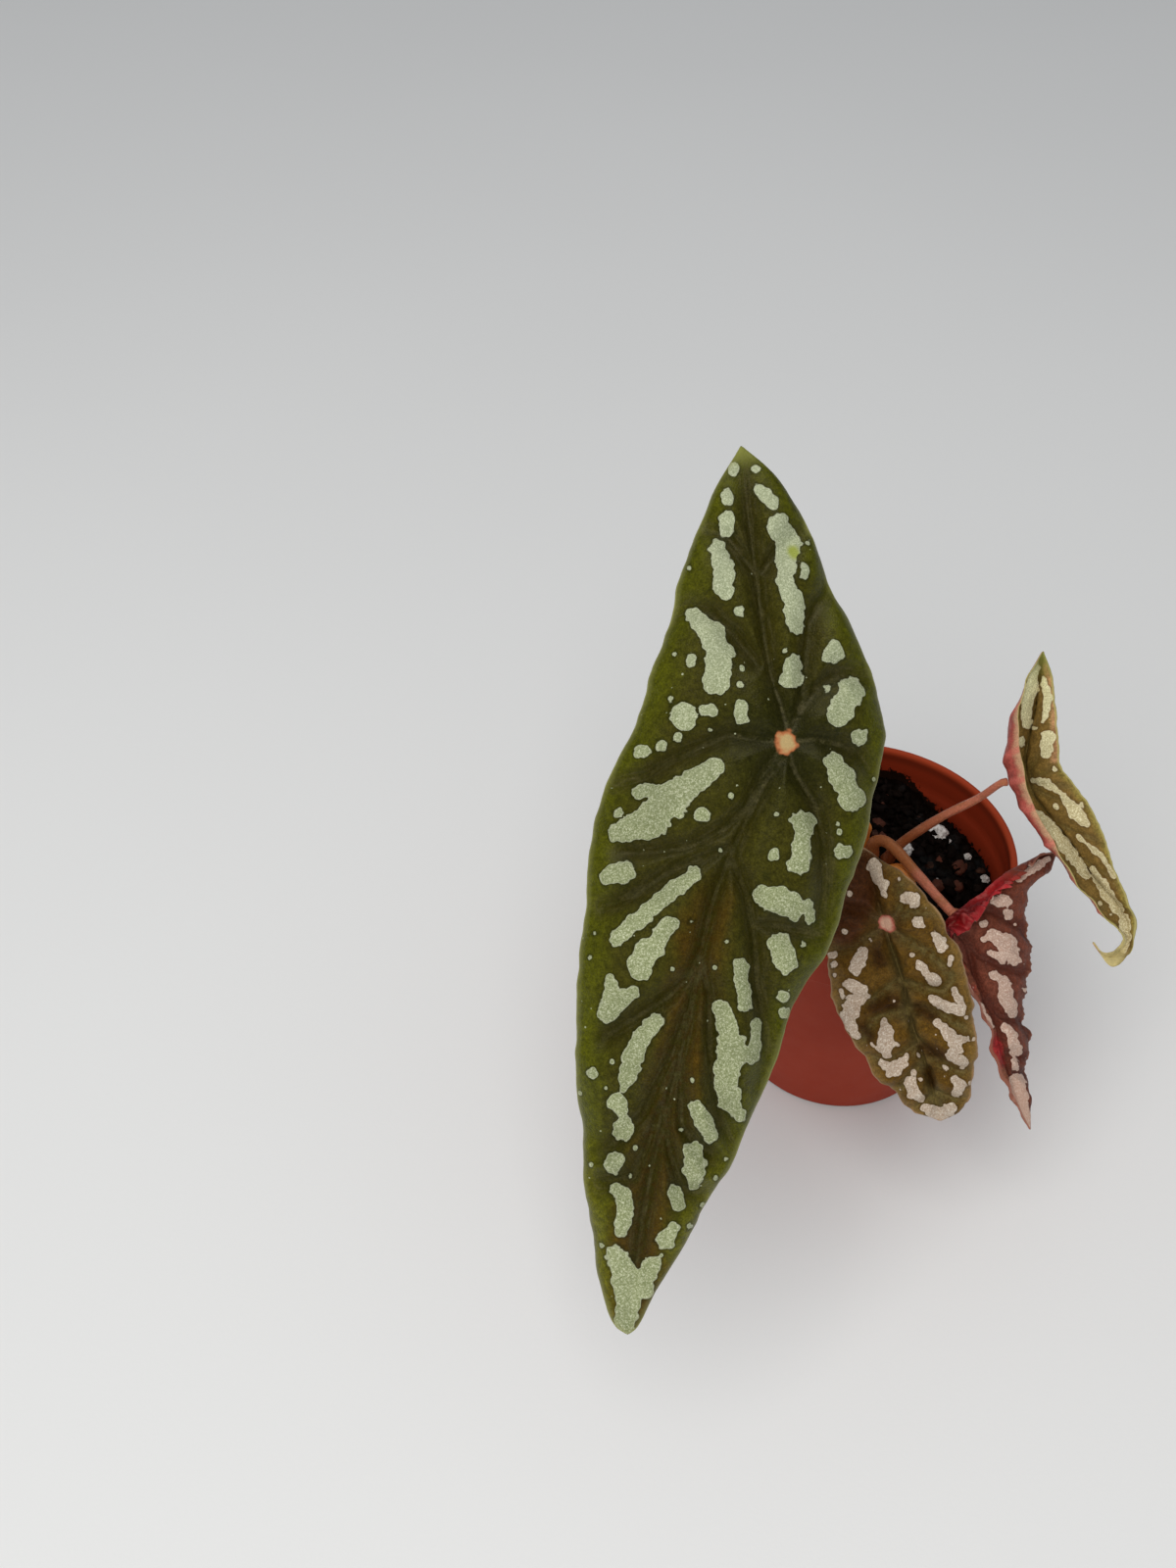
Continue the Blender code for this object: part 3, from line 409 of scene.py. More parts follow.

# Colours of each blade and the widths of its zones, in millimetres. Some paint light and shade: the
# spots' colour for higher up the leaf and its share paint light on them, the crease share and width paint
# shade along the veins, the pale margin line is partly a painted highlight, and the folded leaf's pale
# red blobs under its flap are painted glossy highlights.
PALETTES = {
    "large": SimpleNamespace(
        panel=(0.042, 0.038, 0.003), deep=(0.01, 0.013, 0.001),
        margin=(0.064, 0.067, 0.001), vein=(0.032, 0.025, 0.002), low_margin=(0.108, 0.104, 0.005),
        rib=(0.066, 0.034, 0.002), rib_width=5.5, rib_from=18.0, tint=(0.3, 0.34, 0.06),
        dust=(0.105, 0.09, 0.042), hub=(0.012, 0.013, 0.002),
        spot=(0.52, 0.54, 0.365), spot_mid=(0.28, 0.305, 0.158),
        spot_dark=(0.18, 0.205, 0.092), spot_rim=(0.37, 0.385, 0.26),
        stalk=(0.45, 0.32, 0.14), stalk_rim=(0.42, 0.13, 0.045),
        under=(0.2, 0.025, 0.016), under_edge=(0.16, 0.11, 0.03),
        margin_width=8.0, vein_width=3.0, dust_width=2.8, hub_width=17.0,
        stalk_radius=1.9, edge_line_and_highlight=(0.27, 0.27, 0.09),
        valley_shade=0.32, valley_shade_width=2.6, thread=0.14, thread_width=0.6, fibres=0.32,
        gloss=0.2, rough=(0.32, 0.46), spot_lit=(0.47, 0.51, 0.35), lift=0.45,
        speckles=0.1, point=0.035, point_colour=(0.21, 0.22, 0.04),
    ),
    "front": SimpleNamespace(
        panel=(0.104, 0.052, 0.005), deep=(0.056, 0.024, 0.001),
        margin=(0.17, 0.096, 0.02), vein=(0.09, 0.066, 0.018),
        rib=(0.092, 0.064, 0.02), rib_width=3.0, rib_from=0.0, hollow=(0.026, 0.008, 0.0),
        tint=(0.056, 0.013, 0.003), tint_fade=3.0,
        dust=(0.2, 0.135, 0.055), hub=(0.056, 0.026, 0.008),
        spot=(0.72, 0.64, 0.53), spot_mid=(0.47, 0.375, 0.285),
        spot_dark=(0.37, 0.27, 0.19), spot_rim=(0.52, 0.43, 0.33),
        stalk=(0.59, 0.36, 0.25), stalk_rim=(0.46, 0.12, 0.085),
        under=(0.22, 0.022, 0.016), under_edge=(0.3, 0.14, 0.06),
        margin_width=2.8, vein_width=1.7, dust_width=1.6, hub_width=5.0,
        stalk_radius=1.55, edge_line_and_highlight=(0.33, 0.2, 0.1),
        valley_shade=0.0, valley_shade_width=1.8, thread=0.12, thread_width=0.6, fibres=0.16,
        gloss=0.2, rough=(0.44, 0.62), spot_lit=(0.62, 0.54, 0.38), lift=0.5,
        speckles=0.5, point=0.035, point_colour=(0.33, 0.2, 0.1),
    ),
    "folded": SimpleNamespace(
        panel=(0.15, 0.041, 0.022), deep=(0.07, 0.015, 0.007),
        margin=(0.19, 0.062, 0.03), vein=(0.074, 0.015, 0.008),
        rib=(0.14, 0.036, 0.021), rib_width=2.5, rib_from=-40.0, tint=(0.3, 0.014, 0.018), tint_fade=0.8,
        dust=(0.24, 0.11, 0.08), hub=(0.125, 0.034, 0.021),
        spot=(0.74, 0.6, 0.49), spot_mid=(0.51, 0.355, 0.275),
        spot_dark=(0.45, 0.28, 0.21), spot_rim=(0.58, 0.42, 0.33),
        stalk=(0.5, 0.25, 0.16), stalk_rim=(0.3, 0.06, 0.04),
        under=(0.19, 0.004, 0.005), under_edge=(0.3, 0.018, 0.022), gloss_highlight=(0.42, 0.09, 0.08),
        margin_width=1.4, vein_width=1.4, dust_width=1.6, hub_width=8.0,
        stalk_radius=1.2, edge_line_and_highlight=(0.3, 0.11, 0.07),
        valley_shade=0.4, valley_shade_width=1.8, thread=0.05, thread_width=0.5, fibres=0.3,
        gloss=0.16, rough=(0.45, 0.6), spot_lit=(0.56, 0.4, 0.32), lift=0.3,
        speckles=0.1, point=0.035, point_colour=(0.26, 0.11, 0.07),
    ),
    "curled": SimpleNamespace(
        panel=(0.18, 0.108, 0.026), deep=(0.1, 0.052, 0.011),
        margin=(0.23, 0.175, 0.036), vein=(0.12, 0.08, 0.018),
        rib=(0.115, 0.074, 0.016), rib_width=1.2, rib_from=-40.0, tint=(0.42, 0.21, 0.1), tint_fade=0.6,
        dust=(0.33, 0.26, 0.12), hub=(0.11, 0.085, 0.026),
        spot=(0.76, 0.7, 0.45), spot_mid=(0.52, 0.44, 0.245),
        spot_dark=(0.38, 0.3, 0.145), spot_rim=(0.6, 0.51, 0.31),
        stalk=(0.45, 0.25, 0.1), stalk_rim=(0.3, 0.1, 0.04),
        under=(0.33, 0.065, 0.048), under_edge=(0.5, 0.29, 0.165),
        margin_width=1.6, vein_width=1.4, dust_width=1.1, hub_width=5.0,
        stalk_radius=1.0, edge_line_and_highlight=(0.42, 0.36, 0.13),
        valley_shade=0.15, valley_shade_width=1.8, thread=0.06, thread_width=0.5, fibres=0.2,
        gloss=0.22, rough=(0.36, 0.5), spot_lit=(0.8, 0.78, 0.46), lift=0.65,
        speckles=0.2, point=0.1, point_colour=(0.2, 0.21, 0.045),
    ),
}
HOOK_COLOUR = (0.48, 0.39, 0.165)
HOOK_START = 0.86
BLADE_GRAIN = 0.32

# Grooves above the veins, ribs underneath, and how much thinner a blade's margin is
GROOVE_WIDTH = 0.45
RIB_WIDTH = 0.75
SIDE_RIB_WIDTH = 0.5
SIDE_RIB_SHARE = 0.4
MARGIN_THINNING = 0.45

# Stalks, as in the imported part: points from the stem, and the radius at each end
STALKS = {
    "large": SimpleNamespace(
        path=((-3.8, -6.6, 56.5), (-5.8, -10.0, 65.0), (-12.0, -18.5, 88.0), (-19.0, -25.8, 103.5)),
        radius=(1.5, 1.1)),
    "front": SimpleNamespace(
        path=((-0.3, -8.25, 55.5), (-0.6, -14.0, 58.0), (-0.9, -22.0, 62.5)), radius=(1.2, 0.9)),
    "folded": SimpleNamespace(
        path=((0.3, -5.8, 61.55), (0.5, -6.2, 65.0), (2.2, -7.4, 66.7), (4.5, -10.4, 66.6),
              (7.5, -15.5, 65.9)),
        radius=(1.2, 0.85)),
    "curled": SimpleNamespace(
        path=((3.7, -5.4, 59.5), (6.0, -6.2, 65.4), (12.0, -7.0, 72.8), (17.5, -8.3, 78.8)),
        radius=(1.05, 0.62)),
}
STALK_LEAD = 2.0
STALK_SINK = 0.6
STALK_RINGS = 90
STALK_SIDES = 24
STALK_FLUTES = 0.035
STALK_WAVER = 0.03

# Swell of a stalk at its foot and at its head, and the share of its length that each takes
STALK_FOOT = (0.35, 0.05)
STALK_HEAD = (0.25, 0.025)

# Stipules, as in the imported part
STIPULES = {
    "front": SimpleNamespace(
        midrib=((1.6, -7.65, 56.5), (2.9, -9.8, 61.0), (5.2, -12.6, 63.6), (7.6, -17.0, 63.4)),
        left=((1.4, -10.6, 62.0), (3.7, -14.0, 64.4)),
        right=((4.2, -8.8, 60.4), (6.6, -11.4, 63.0)),
    ),
    "back": SimpleNamespace(
        midrib=((-0.5, -1.85, 55.2), (-1.2, 0.0, 59.5), (-1.6, 0.0, 64.0), (-1.2, -1.6, 68.0)),
        left=((1.0, -0.6, 59.5), (0.6, -0.8, 64.0)),
        right=((-3.3, -1.2, 59.5), (-3.4, -1.4, 64.0)),
    ),
}
STIPULE_GRID = (81, 41)
STIPULE_THICKNESS = 0.25
STIPULE_PLEATS = 0.06
STIPULE_CRUMPLE = 0.15
STIPULE_WAVE = 0.35


def smooth_curve(points, count):
    """Catmull-Rom curve through the points, sampled at even steps of its length."""
    knots = np.array(points, float)
    padded = np.vstack([2 * knots[0] - knots[1], knots, 2 * knots[-1] - knots[-2]])
    u = np.linspace(0.0, 1.0, 40, endpoint=False)[:, None]
    spans = []
    for a, b, c, d in zip(padded, padded[1:], padded[2:], padded[3:]):
        cubic = 3 * b - a - 3 * c + d
        square = 2 * a - 5 * b + 4 * c - d
        spans.append(0.5 * (2 * b + (c - a) * u + square * u**2 + cubic * u**3))
    curve = np.vstack(spans + [knots[-1:]])
    steps = np.linalg.norm(np.diff(curve, axis=0), axis=1)
    run = np.concatenate([[0.0], np.cumsum(steps)])
    wanted = np.linspace(0.0, run[-1], count)
    return np.column_stack([np.interp(wanted, run, curve[:, axis]) for axis in range(3)])


def read_curve(curve, share):
    """Points at the given shares (0 to 1) of a sampled curve's length."""
    places = np.linspace(0.0, 1.0, len(curve))
    return np.column_stack([np.interp(share, places, curve[:, axis]) for axis in range(3)])


def unit(vectors):
    return vectors / np.maximum(np.linalg.norm(vectors, axis=-1, keepdims=True), 1e-9)


def smooth_step(value, low, high):
    share = np.clip((value - low) / (high - low), 0.0, 1.0)
    return share * share * (3.0 - 2.0 * share)


def noise_at(points, length, shift=0.0):
    """Smooth noise from about -1 to 1 at each point, with lumps of the given length."""
    scaled = points / length + shift
    return np.array([noise.noise(Vector(place)) for place in scaled])


class Blade:
    """A leaf blade's middle surface, read at (along, across), across from -1 to 1."""

    SAMPLES = 241
    STEP = 0.004

    def __init__(self, guides):
        self.base, self.tip = guides.midrib[:1], guides.midrib[-1:]
        self.midrib = smooth_curve(guides.midrib, self.SAMPLES)
        self.margin = {-1: self.rail(guides.left), 1: self.rail(guides.right)}
        self.length = np.linalg.norm(np.diff(self.midrib, axis=0), axis=1).sum()
        self.middle = {-1: self.bowed(-1), 1: self.bowed(1)}
        if hasattr(guides, "left_middle"):
            self.middle[-1] = self.rail(guides.left_middle)

    def rail(self, points):
        """Curve from the blade's base through the points to its tip."""
        return smooth_curve(self.base + points + self.tip, self.SAMPLES)

    def bowed(self, side):
        """Half-way curve of one half, raised a little so that the half is crowned."""
        reach = self.margin[side] - self.midrib
        width = np.linalg.norm(reach, axis=1)
        along = np.gradient(self.midrib, axis=0)
        up = unit(np.cross(along, reach)) * side
        rise = width / max(width.max(), 1e-9)
        return 0.5 * (self.midrib + self.margin[side]) + up * rise[:, None]

    def sheet(self, along, across):
        """Points of the surface: a parabola from the midrib to each margin."""
        points = np.zeros((len(along), 3))
        for side in (-1, 1):
            here = across < 0 if side < 0 else across >= 0
            if not here.any():
                continue
            share = np.abs(across[here])[:, None]
            rib = read_curve(self.midrib, along[here])
            edge = read_curve(self.margin[side], along[here])
            pull = 2 * read_curve(self.middle[side], along[here]) - 0.5 * (rib + edge)
            points[here] = rib * (1 - share) ** 2 + 2 * pull * share * (1 - share) + edge * share**2
        return points

    def normal(self, along, across):
        low = np.clip(along - self.STEP, 0.0, 1.0)
        high = np.clip(along + self.STEP, 0.0, 1.0)
        left = np.clip(across - self.STEP, -1.0, 1.0)
        right = np.clip(across + self.STEP, -1.0, 1.0)
        lengthwise = self.sheet(high, across) - self.sheet(low, across)
        crosswise = self.sheet(along, right) - self.sheet(along, left)
        return unit(np.cross(lengthwise, crosswise))

    def reach(self, along, across):
        """The way from the midrib to the margin on each point's own side."""
        rib = read_curve(self.midrib, along)
        left = read_curve(self.margin[-1], along) - rib
        right = read_curve(self.margin[1], along) - rib
        return np.where(across[:, None] < 0, left, right)


def seen_from_camera(points):
    """Slopes to the right and down of each point from the camera, and its distance."""
    arm = points - CAMERA_AT
    depth = arm @ CAMERA_FORWARD
    return (arm @ CAMERA_RIGHT) / depth, -(arm @ CAMERA_UP) / depth, depth


def picture_places(points, seat):
    """Millimetres right of and below the stalk point, at its distance from the camera."""
    right, down, _ = seen_from_camera(points)
    seat_right, seat_down, seat_depth = seen_from_camera(seat[None, :])
    return np.column_stack([right - seat_right, down - seat_down]) * seat_depth


def depth_in_chains(places, chains, lobes=0.0):
    """How deep each place lies inside the nearest chain of discs: below 0 outside."""
    best = np.full(len(places), -FAR)
    swell = 1.0 + lobes
    for chain in chains:
        discs = chain if len(chain) > 1 else chain * 2
        for first, last in zip(discs, discs[1:]):
            step = np.array(last[:2]) - np.array(first[:2])
            arm = places - np.array(first[:2])
            share = np.clip(arm @ step / max(step @ step, 1e-9), 0.0, 1.0)
            away = np.linalg.norm(arm - share[:, None] * step, axis=1)
            radius = first[2] + (last[2] - first[2]) * share
            best = np.maximum(best, radius * swell - away)
    return best


def spot_lobes(places, length):
    """Share by which the spots' discs swell and shrink, so that their outline is lobed."""
    track = np.column_stack([places, np.zeros(len(places))])
    return 0.26 * noise_at(track, length) + 0.18 * noise_at(track, length * 0.45, 5.0)


def vein_distance(name, blade, along, points, places):
    """Distance of each point to the midrib, to any groove, and to the nearest side vein."""
    guides = LEAVES[name]
    out = np.linalg.norm(points - read_curve(blade.midrib, along), axis=1)
    if VEINS[name]:
        lines = [tuple((x, y, 0.0) for x, y in vein) for vein in VEINS[name]]
        side = -depth_in_chains(places, lines)
    else:
        past = (along - guides.stalk_at[0]) * blade.length
        turn = np.arctan2(out, past)
        ray = (turn - VEIN_ANGLE) / RAY_ANGLE
        strip = (out / math.tan(VEIN_ANGLE) - past) / guides.panel_length
        off_ray = np.abs(ray - np.round(ray)) * RAY_ANGLE * np.hypot(out, past)
        off_strip = np.abs(strip - np.round(strip)) * guides.panel_length * math.sin(VEIN_ANGLE)
        side = np.where(turn > VEIN_ANGLE, off_ray, off_strip)
    return out, np.minimum(side, out), side


def frill(guides, blade, along, across):
    """Tight waves of one stretch of the left margin, for a leaf that has them."""
    if not hasattr(guides, "frill"):
        return np.zeros(len(along))
    rise, length, start, end = guides.frill
    stretch = smooth_step(along, start, start + 0.06) * smooth_step(along, end, end - 0.06)
    turns = math.tau * along * blade.length / length
    wave = np.sin(turns + 1.2 * np.sin(0.37 * turns)) + 0.4 * np.sin(2.3 * turns + 2.0 * across)
    return rise * wave * stretch * np.clip(-across, 0.0, 1.0) ** 1.5


def margin_notch(guides, blade, along, across):
    """Waver of the margin, and pointed teeth by the leaf's jagged share."""
    run = along * blade.length / guides.tooth_length
    side = np.sign(across) * 7.0
    track = np.column_stack([run, side, np.zeros(len(run))])
    waver = noise_at(track, 1.0) + 0.5 * noise_at(track, 0.45)
    teeth = 1.0 - 2.0 * np.abs(np.sin(math.pi * run + 1.5 * noise_at(track, 3.0)))
    return (1.0 - guides.jagged) * 1.6 * waver + guides.jagged * teeth


def sheet_grid(rows, columns):
    """Shares along and across of a grid whose first and last rows are a point each."""
    lengths, widths = np.linspace(0.0, 1.0, rows), np.linspace(-1.0, 1.0, columns)
    along = np.concatenate([[0.0], np.repeat(lengths[1:-1], columns), [1.0]])
    across = np.concatenate([[0.0], np.tile(widths, rows - 2), [0.0]])
    return along, across


def closed_sheet_faces(rows, columns):
    """Faces above, below and at both edges of such a grid, and how many are above."""
    index = 1 + (np.arange(rows)[:, None] - 1) * columns + np.arange(columns)[None, :]
    count = 2 + (rows - 2) * columns
    index[0] = 0
    index[-1] = count - 1
    top = np.stack([index[:-1, :-1], index[1:, :-1], index[1:, 1:], index[:-1, 1:]], -1)
    top = top.reshape(-1, 4)
    sides = [top, top[:, ::-1] + count]
    for start, end in ((index[1:, 0], index[:-1, 0]), (index[:-1, -1], index[1:, -1])):
        sides.append(np.column_stack([start, end, end + count, start + count]))
    faces = [tuple(dict.fromkeys(face)) for face in np.vstack(sides).tolist()]
    return faces, len(top)


def add_object(name, data):
    thing = bpy.data.objects.new(name, data)
    bpy.context.scene.collection.objects.link(thing)
    return thing


def fill_mesh(name, points, faces, materials, readings=None, kinds=None):
    """Object from points in millimetres, faces, materials and readings at its vertices."""
    mesh = bpy.data.meshes.new(name)
    mesh.from_pydata((np.asarray(points) * MM).tolist(), [], faces)
    for material in materials:
        mesh.materials.append(material)
    if kinds is not None:
        mesh.polygons.foreach_set("material_index", kinds)
    for label, values in (readings or {}).items():
        layer = mesh.attributes.new(label, "FLOAT", "POINT")
        layer.data.foreach_set("value", np.asarray(values, np.float32))
    mesh.shade_smooth()
    mesh.update()
    return add_object(name, mesh)


def stand_for(thing, node):
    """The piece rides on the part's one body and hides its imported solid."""
    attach(thing, "root")
    if node is not None:
        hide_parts(node)


class Value:
    """A number or colour that a node gives out; what is done with it adds nodes."""

    NOISE_LOW = 0.3
    NOISE_HIGH = 0.7

    def __init__(self, shader, socket):
        self.shader, self.socket = shader, socket

    def math(self, operation, other=0.0):
        return self.shader.add("Math", {0: self, 1: other}, operation=operation)

    def __add__(self, other):
        return self.math("ADD", other)

    def __sub__(self, other):
        return self.math("SUBTRACT", other)

    def __mul__(self, other):
        return self.math("MULTIPLY", other)

    def centred(self, gain):
        """A noise from 0 to 1 turned into one round 0, made larger by the gain."""
        return (self - 0.5) * gain

    def step(self, low, high):
        """0 at low and 1 at high, smooth between; low may be the larger."""
        inputs = {"Value": self, "From Min": low, "From Max": high}
        return self.shader.add("MapRange", inputs, "Result", interpolation_type="SMOOTHSTEP")

    def ramp(self, first, last, low=NOISE_LOW, high=NOISE_HIGH):
        """From first at low to last at high, in a straight line."""
        inputs = {"Value": self, "From Min": low, "From Max": high, "To Min": first, "To Max": last}
        return self.shader.add("MapRange", inputs, "Result")

    def mix(self, share, other):
        """This colour where the share is 0, the other one where it is 1."""
        return self.shader.mix(share, self, other)

    def shade(self, value, darkest, lightest, *between):
        """This colour times darkest where the value is low, times lightest where high."""
        return self.shader.shade(self, value, darkest, lightest, *between)


class Shader:
    """A material whose nodes are added one call at a time; lengths in millimetres."""

    def __init__(self, name):
        self.material = bpy.data.materials.new(name)
        self.material.use_nodes = True
        self.tree = self.material.node_tree
        self.place = self.add("TexCoord", {}, "Object")

    def feed(self, socket, value):
        if isinstance(value, Value):
            self.tree.links.new(value.socket, socket)
        elif socket.type == "RGBA":
            socket.default_value = (*value, 1.0)
        else:
            socket.default_value = value

    def add(self, kind, inputs, output=0, **settings):
        """One output of a new node, from its inputs by name or number and its settings."""
        node = self.tree.nodes.new("ShaderNode" + kind)
        for key, setting in settings.items():
            setattr(node, key, setting)
        for socket, value in inputs.items():
            self.feed(node.inputs[socket], value)
        return Value(self, node.outputs[output])

    def reading(self, label):
        return self.add("Attribute", {}, "Fac", attribute_name=label)

    def noise(self, length, detail=2.0, roughness=0.5, place=None):
        inputs = {"Vector": place or self.place, "Scale": 1.0 / (length * MM),
                  "Detail": detail, "Roughness": roughness}
        return self.add("TexNoise", inputs, "Fac")

    def cells(self, length):
        return self.add("TexVoronoi", {"Vector": self.place, "Scale": 1.0 / (length * MM)}, "Distance")

    def axes(self):
        """The place's three coordinates, in metres."""
        outputs = self.add("SeparateXYZ", {0: self.place}).socket.node.outputs
        return [Value(self, socket) for socket in outputs]

    def mix(self, share, first, second):
        return self.add("Mix", {"Factor": share, 6: first, 7: second}, 2, data_type="RGBA")

    def shade(self, colour, value, darkest, lightest, *between):
        scale = value.ramp(darkest, lightest, *between)
        return self.add("VectorMath", {0: colour, "Scale": scale}, operation="SCALE")

    def beside_veins(self, vein, width, length):
        """Coordinates for a noise of thin streaks that run with the veins."""
        x, y, _ = self.axes()
        pitch = 1.0 / (length * MM)
        return self.add("CombineXYZ", {0: vein * (1.0 / width), 1: x * pitch, 2: y * pitch})

    def finish(self, colour, relief, depth, rough, gloss, glow=None):
        """The material, with its bump's relief and depth and the red glow of thin skin."""
        bump = self.add("Bump", {"Height": relief, "Distance": depth * MM}, "Normal")
        sockets = {"Base Color": colour, "Roughness": rough, "Specular IOR Level": gloss, "Normal": bump}
        if glow is not None:
            weight, green = glow
            sockets.update({"Subsurface Weight": weight, "Subsurface Scale": 0.8 * MM,
                            "Subsurface Radius": (1.0, green, 0.2)})
        surface = self.tree.nodes["Principled BSDF"]
        for label, value in sockets.items():
            self.feed(surface.inputs[label], value)
        return self.material


def blade_ground(shader, name, mottled, grain):
    """Colour of a blade's upper side between the spots."""
    look = PALETTES[name]
    width = look.margin_width
    edge, vein, down = shader.reading("edge"), shader.reading("vein"), shader.reading("down")
    cloudy = shader.noise(4.5, 3.0).centred(2.0)
    near_edge = (edge + cloudy * (width * 0.4)).step(width, width * 0.1)
    base = shader.mix(cloudy.step(0.2, 0.9), look.panel, look.deep)
    base = base.mix(near_edge, look.margin)
    if name == "large":
        low = down.step(58.0, 80.0) * 0.8 * (edge + cloudy).step(5.5, 1.5)
        base = base.mix(low, look.low_margin)

    # Brown along the veins, dusty fibres that run with them, and painted shade in the crease of each
    rib = shader.reading("rib") + cloudy * (look.rib_width * 0.5)
    near_rib = rib.step(look.rib_width, look.rib_width * 0.15)
    base = base.mix(near_rib * down.step(look.rib_from, look.rib_from + 12.0), look.rib)
    inland = edge.ramp(0.2, 1.0, 0.0, width * 0.8)
    near_vein = vein.step(look.vein_width, look.vein_width * 0.1) * mottled.step(0.25, 0.6)
    base = base.mix(near_vein * inland, look.vein)
    streaks = shader.noise(UNSCALED, 3.0, 0.65, shader.beside_veins(vein, 0.45, 3.5))
    beside = vein.step(look.dust_width, look.dust_width * 0.2)
    base = base.mix(streaks.step(0.42, 0.72) * beside * look.fibres, look.dust)
    base = base.mix(vein.step(look.valley_shade_width, 0.3) * look.valley_shade * inland, look.deep)
    near_hub = shader.reading("hub").step(look.hub_width, look.hub_width * 0.1)
    base = base.mix(near_hub * 0.7, look.hub)
    thread = vein.step(look.thread_width, 0.05) * (near_hub * 0.3 + look.thread)
    base = base.mix(thread * shader.noise(1.4, 3.0, 0.7).step(0.38, 0.62), look.dust)
    if name != "large":
        tint = shader.reading("tint") + mottled.centred(1.4)
        base = base.mix(tint.step(-look.tint_fade, 0.6) * 0.85, look.tint)
    if name == "front":
        hollow = (shader.reading("hollow") + cloudy).step(-1.3, 0.9)
        base = base.mix(hollow * 0.85, look.hollow)
    base = base.shade(mottled, 0.7, 1.35).shade(grain, 0.55, 1.5)
    speckles = shader.cells(0.42).step(0.34, 0.16) * near_edge
    base = base.mix(speckles * look.speckles, look.dust)
    specks = shader.cells(0.8).step(0.16, 0.08) * cloudy.step(-0.2, 0.5)
    return base.mix(specks * 0.5, look.dust)


def spot_silver(shader, name, mottled, grain, depth):
    """Colour of a blade's spots: a grainy silver with a paler rim, and painted light on those higher up
    the leaf.
    """
    look = PALETTES[name]
    silver = shader.mix(mottled.step(0.3, 0.9), look.spot_mid, look.spot_dark)
    silver = silver.mix(grain.step(0.5, 0.36), look.spot_dark)
    silver = silver.mix(grain.step(0.5, 0.64), look.spot)
    silver = silver.shade(shader.noise(9.0, 2.0), 0.9, 1.12, 0.35, 0.65)
    # Painted light: spots higher up the leaf, and on the curled leaf those on one half, are paler where
    # light falls on them
    down = shader.reading("down")
    high = down.step(15.0, -30.0) * look.lift
    if name == "curled":
        high = high * shader.reading("across").ramp(1.45, 1.0, -0.45, -0.1)
    silver = silver.mix(high, shader.shade(look.spot_lit, grain, 0.6, 1.4))
    silver = silver.mix(depth.step(0.3, 0.1) * 0.6, look.spot_rim)
    if name == "folded":
        silver = silver.mix(down.step(28.0, 33.0) * 0.6, look.spot_dark)
    if name == "large":
        silver = silver.mix(shader.reading("tint").step(-0.5, 0.5), look.tint)
    return silver


def blade_top_material(name):
    """Upper side of a blade, from its readings: spots, veins, margin and stalk point."""
    look = PALETTES[name]
    shader = Shader("blade_top_" + name)
    edge, along = shader.reading("edge"), shader.reading("along")
    mottled = shader.noise(1.0, 3.0, 0.6)
    grain = shader.noise(BLADE_GRAIN, 3.0, 0.85)
    base = blade_ground(shader, name, mottled, grain)

    # Spots with a ragged outline, a painted shadow line round each, and a few freckles
    ragged = shader.noise(0.7, 2.0).centred(2.0) * 0.14
    scallop = (shader.cells(1.3) - 0.45) * -0.6
    depth = shader.reading("spot") + (ragged + scallop)
    inside = depth.step(-0.05, 0.06)
    base = base.mix(depth.step(-0.55, -0.05) * 0.5, look.deep)
    freckle = shader.cells(2.9).step(0.075, 0.05) * mottled.step(0.5, 0.52)
    base = base.mix(inside.math("MAXIMUM", freckle), spot_silver(shader, name, mottled, grain, depth))

    # A pale line along the margin, partly its own colour and partly a painted highlight, the blade's
    # point, and the disc over its stalk
    base = base.mix(edge.step(0.2 + 0.15 * look.margin_width, 0.2) * 0.3, look.edge_line_and_highlight)
    base = base.mix(edge.step(0.36, 0.12) * 0.8, look.edge_line_and_highlight)
    base = base.mix(along.step(look.point, 0.004) * 0.8, look.point_colour)
    if name == "curled":
        hook = along.step(HOOK_START, HOOK_START + 0.07)
        base = base.mix(hook, shader.shade(HOOK_COLOUR, mottled, 0.75, 1.2))
    reach = look.stalk_radius
    uneven = shader.reading("hub") + shader.noise(1.6, 2.0).centred(reach * 1.1)
    base = base.mix(uneven.step(reach * 1.15, reach * 0.85), look.stalk_rim)
    heart = shader.shade(look.stalk, grain, 0.85, 1.15)
    base = base.mix(uneven.step(reach * 0.98, reach * 0.5), heart)
    rough = grain.ramp(*look.rough) - inside * 0.18
    relief = shader.cells(BLADE_GRAIN) + grain + inside
    return shader.finish(base, relief, depth=0.06, rough=rough, gloss=look.gloss)


def blade_under_material(name):
    """Lower side of a blade: red, with paler veins and a margin like the upper side's."""
    look = PALETTES[name]
    shader = Shader("blade_under_" + name)
    mottled = shader.noise(1.6, 3.0, 0.6)
    grain = shader.noise(0.25, 2.0, 0.6)
    base = shader.shade(look.under, mottled, 0.6, 1.25)
    drift = mottled.centred(2.0) * (look.margin_width * 0.6)
    near_edge = (shader.reading("edge") + drift).step(look.margin_width, 0.1)
    base = base.mix(near_edge, look.under_edge)
    pale = tuple(min(1.0, channel * 1.5 + 0.02) for channel in look.under)
    base = base.mix(shader.reading("vein").step(0.9, 0.2) * 0.6, pale)
    base = base.shade(grain, 0.75, 1.2)
    if name == "folded":
        # On the folded leaf the red flap is painted lighter where light falls on it and darker near the
        # stalk point, with blobs of painted glossy highlight, and brown towards the ear's end
        along = shader.reading("along")
        base = base.shade(along, 1.0, 1.5, 0.34, 0.27)
        base = base.shade(shader.reading("hub"), 0.7, 1.0, 1.5, 5.0)
        base = base.mix(shader.noise(1.7, 2.0).step(0.54, 0.68) * 0.5, look.gloss_highlight)
        base = base.mix(along.step(0.24, 0.16) * 0.9, look.panel)
    return shader.finish(base, mottled + grain, depth=0.08, rough=grain.ramp(0.3, 0.45), gloss=0.2)


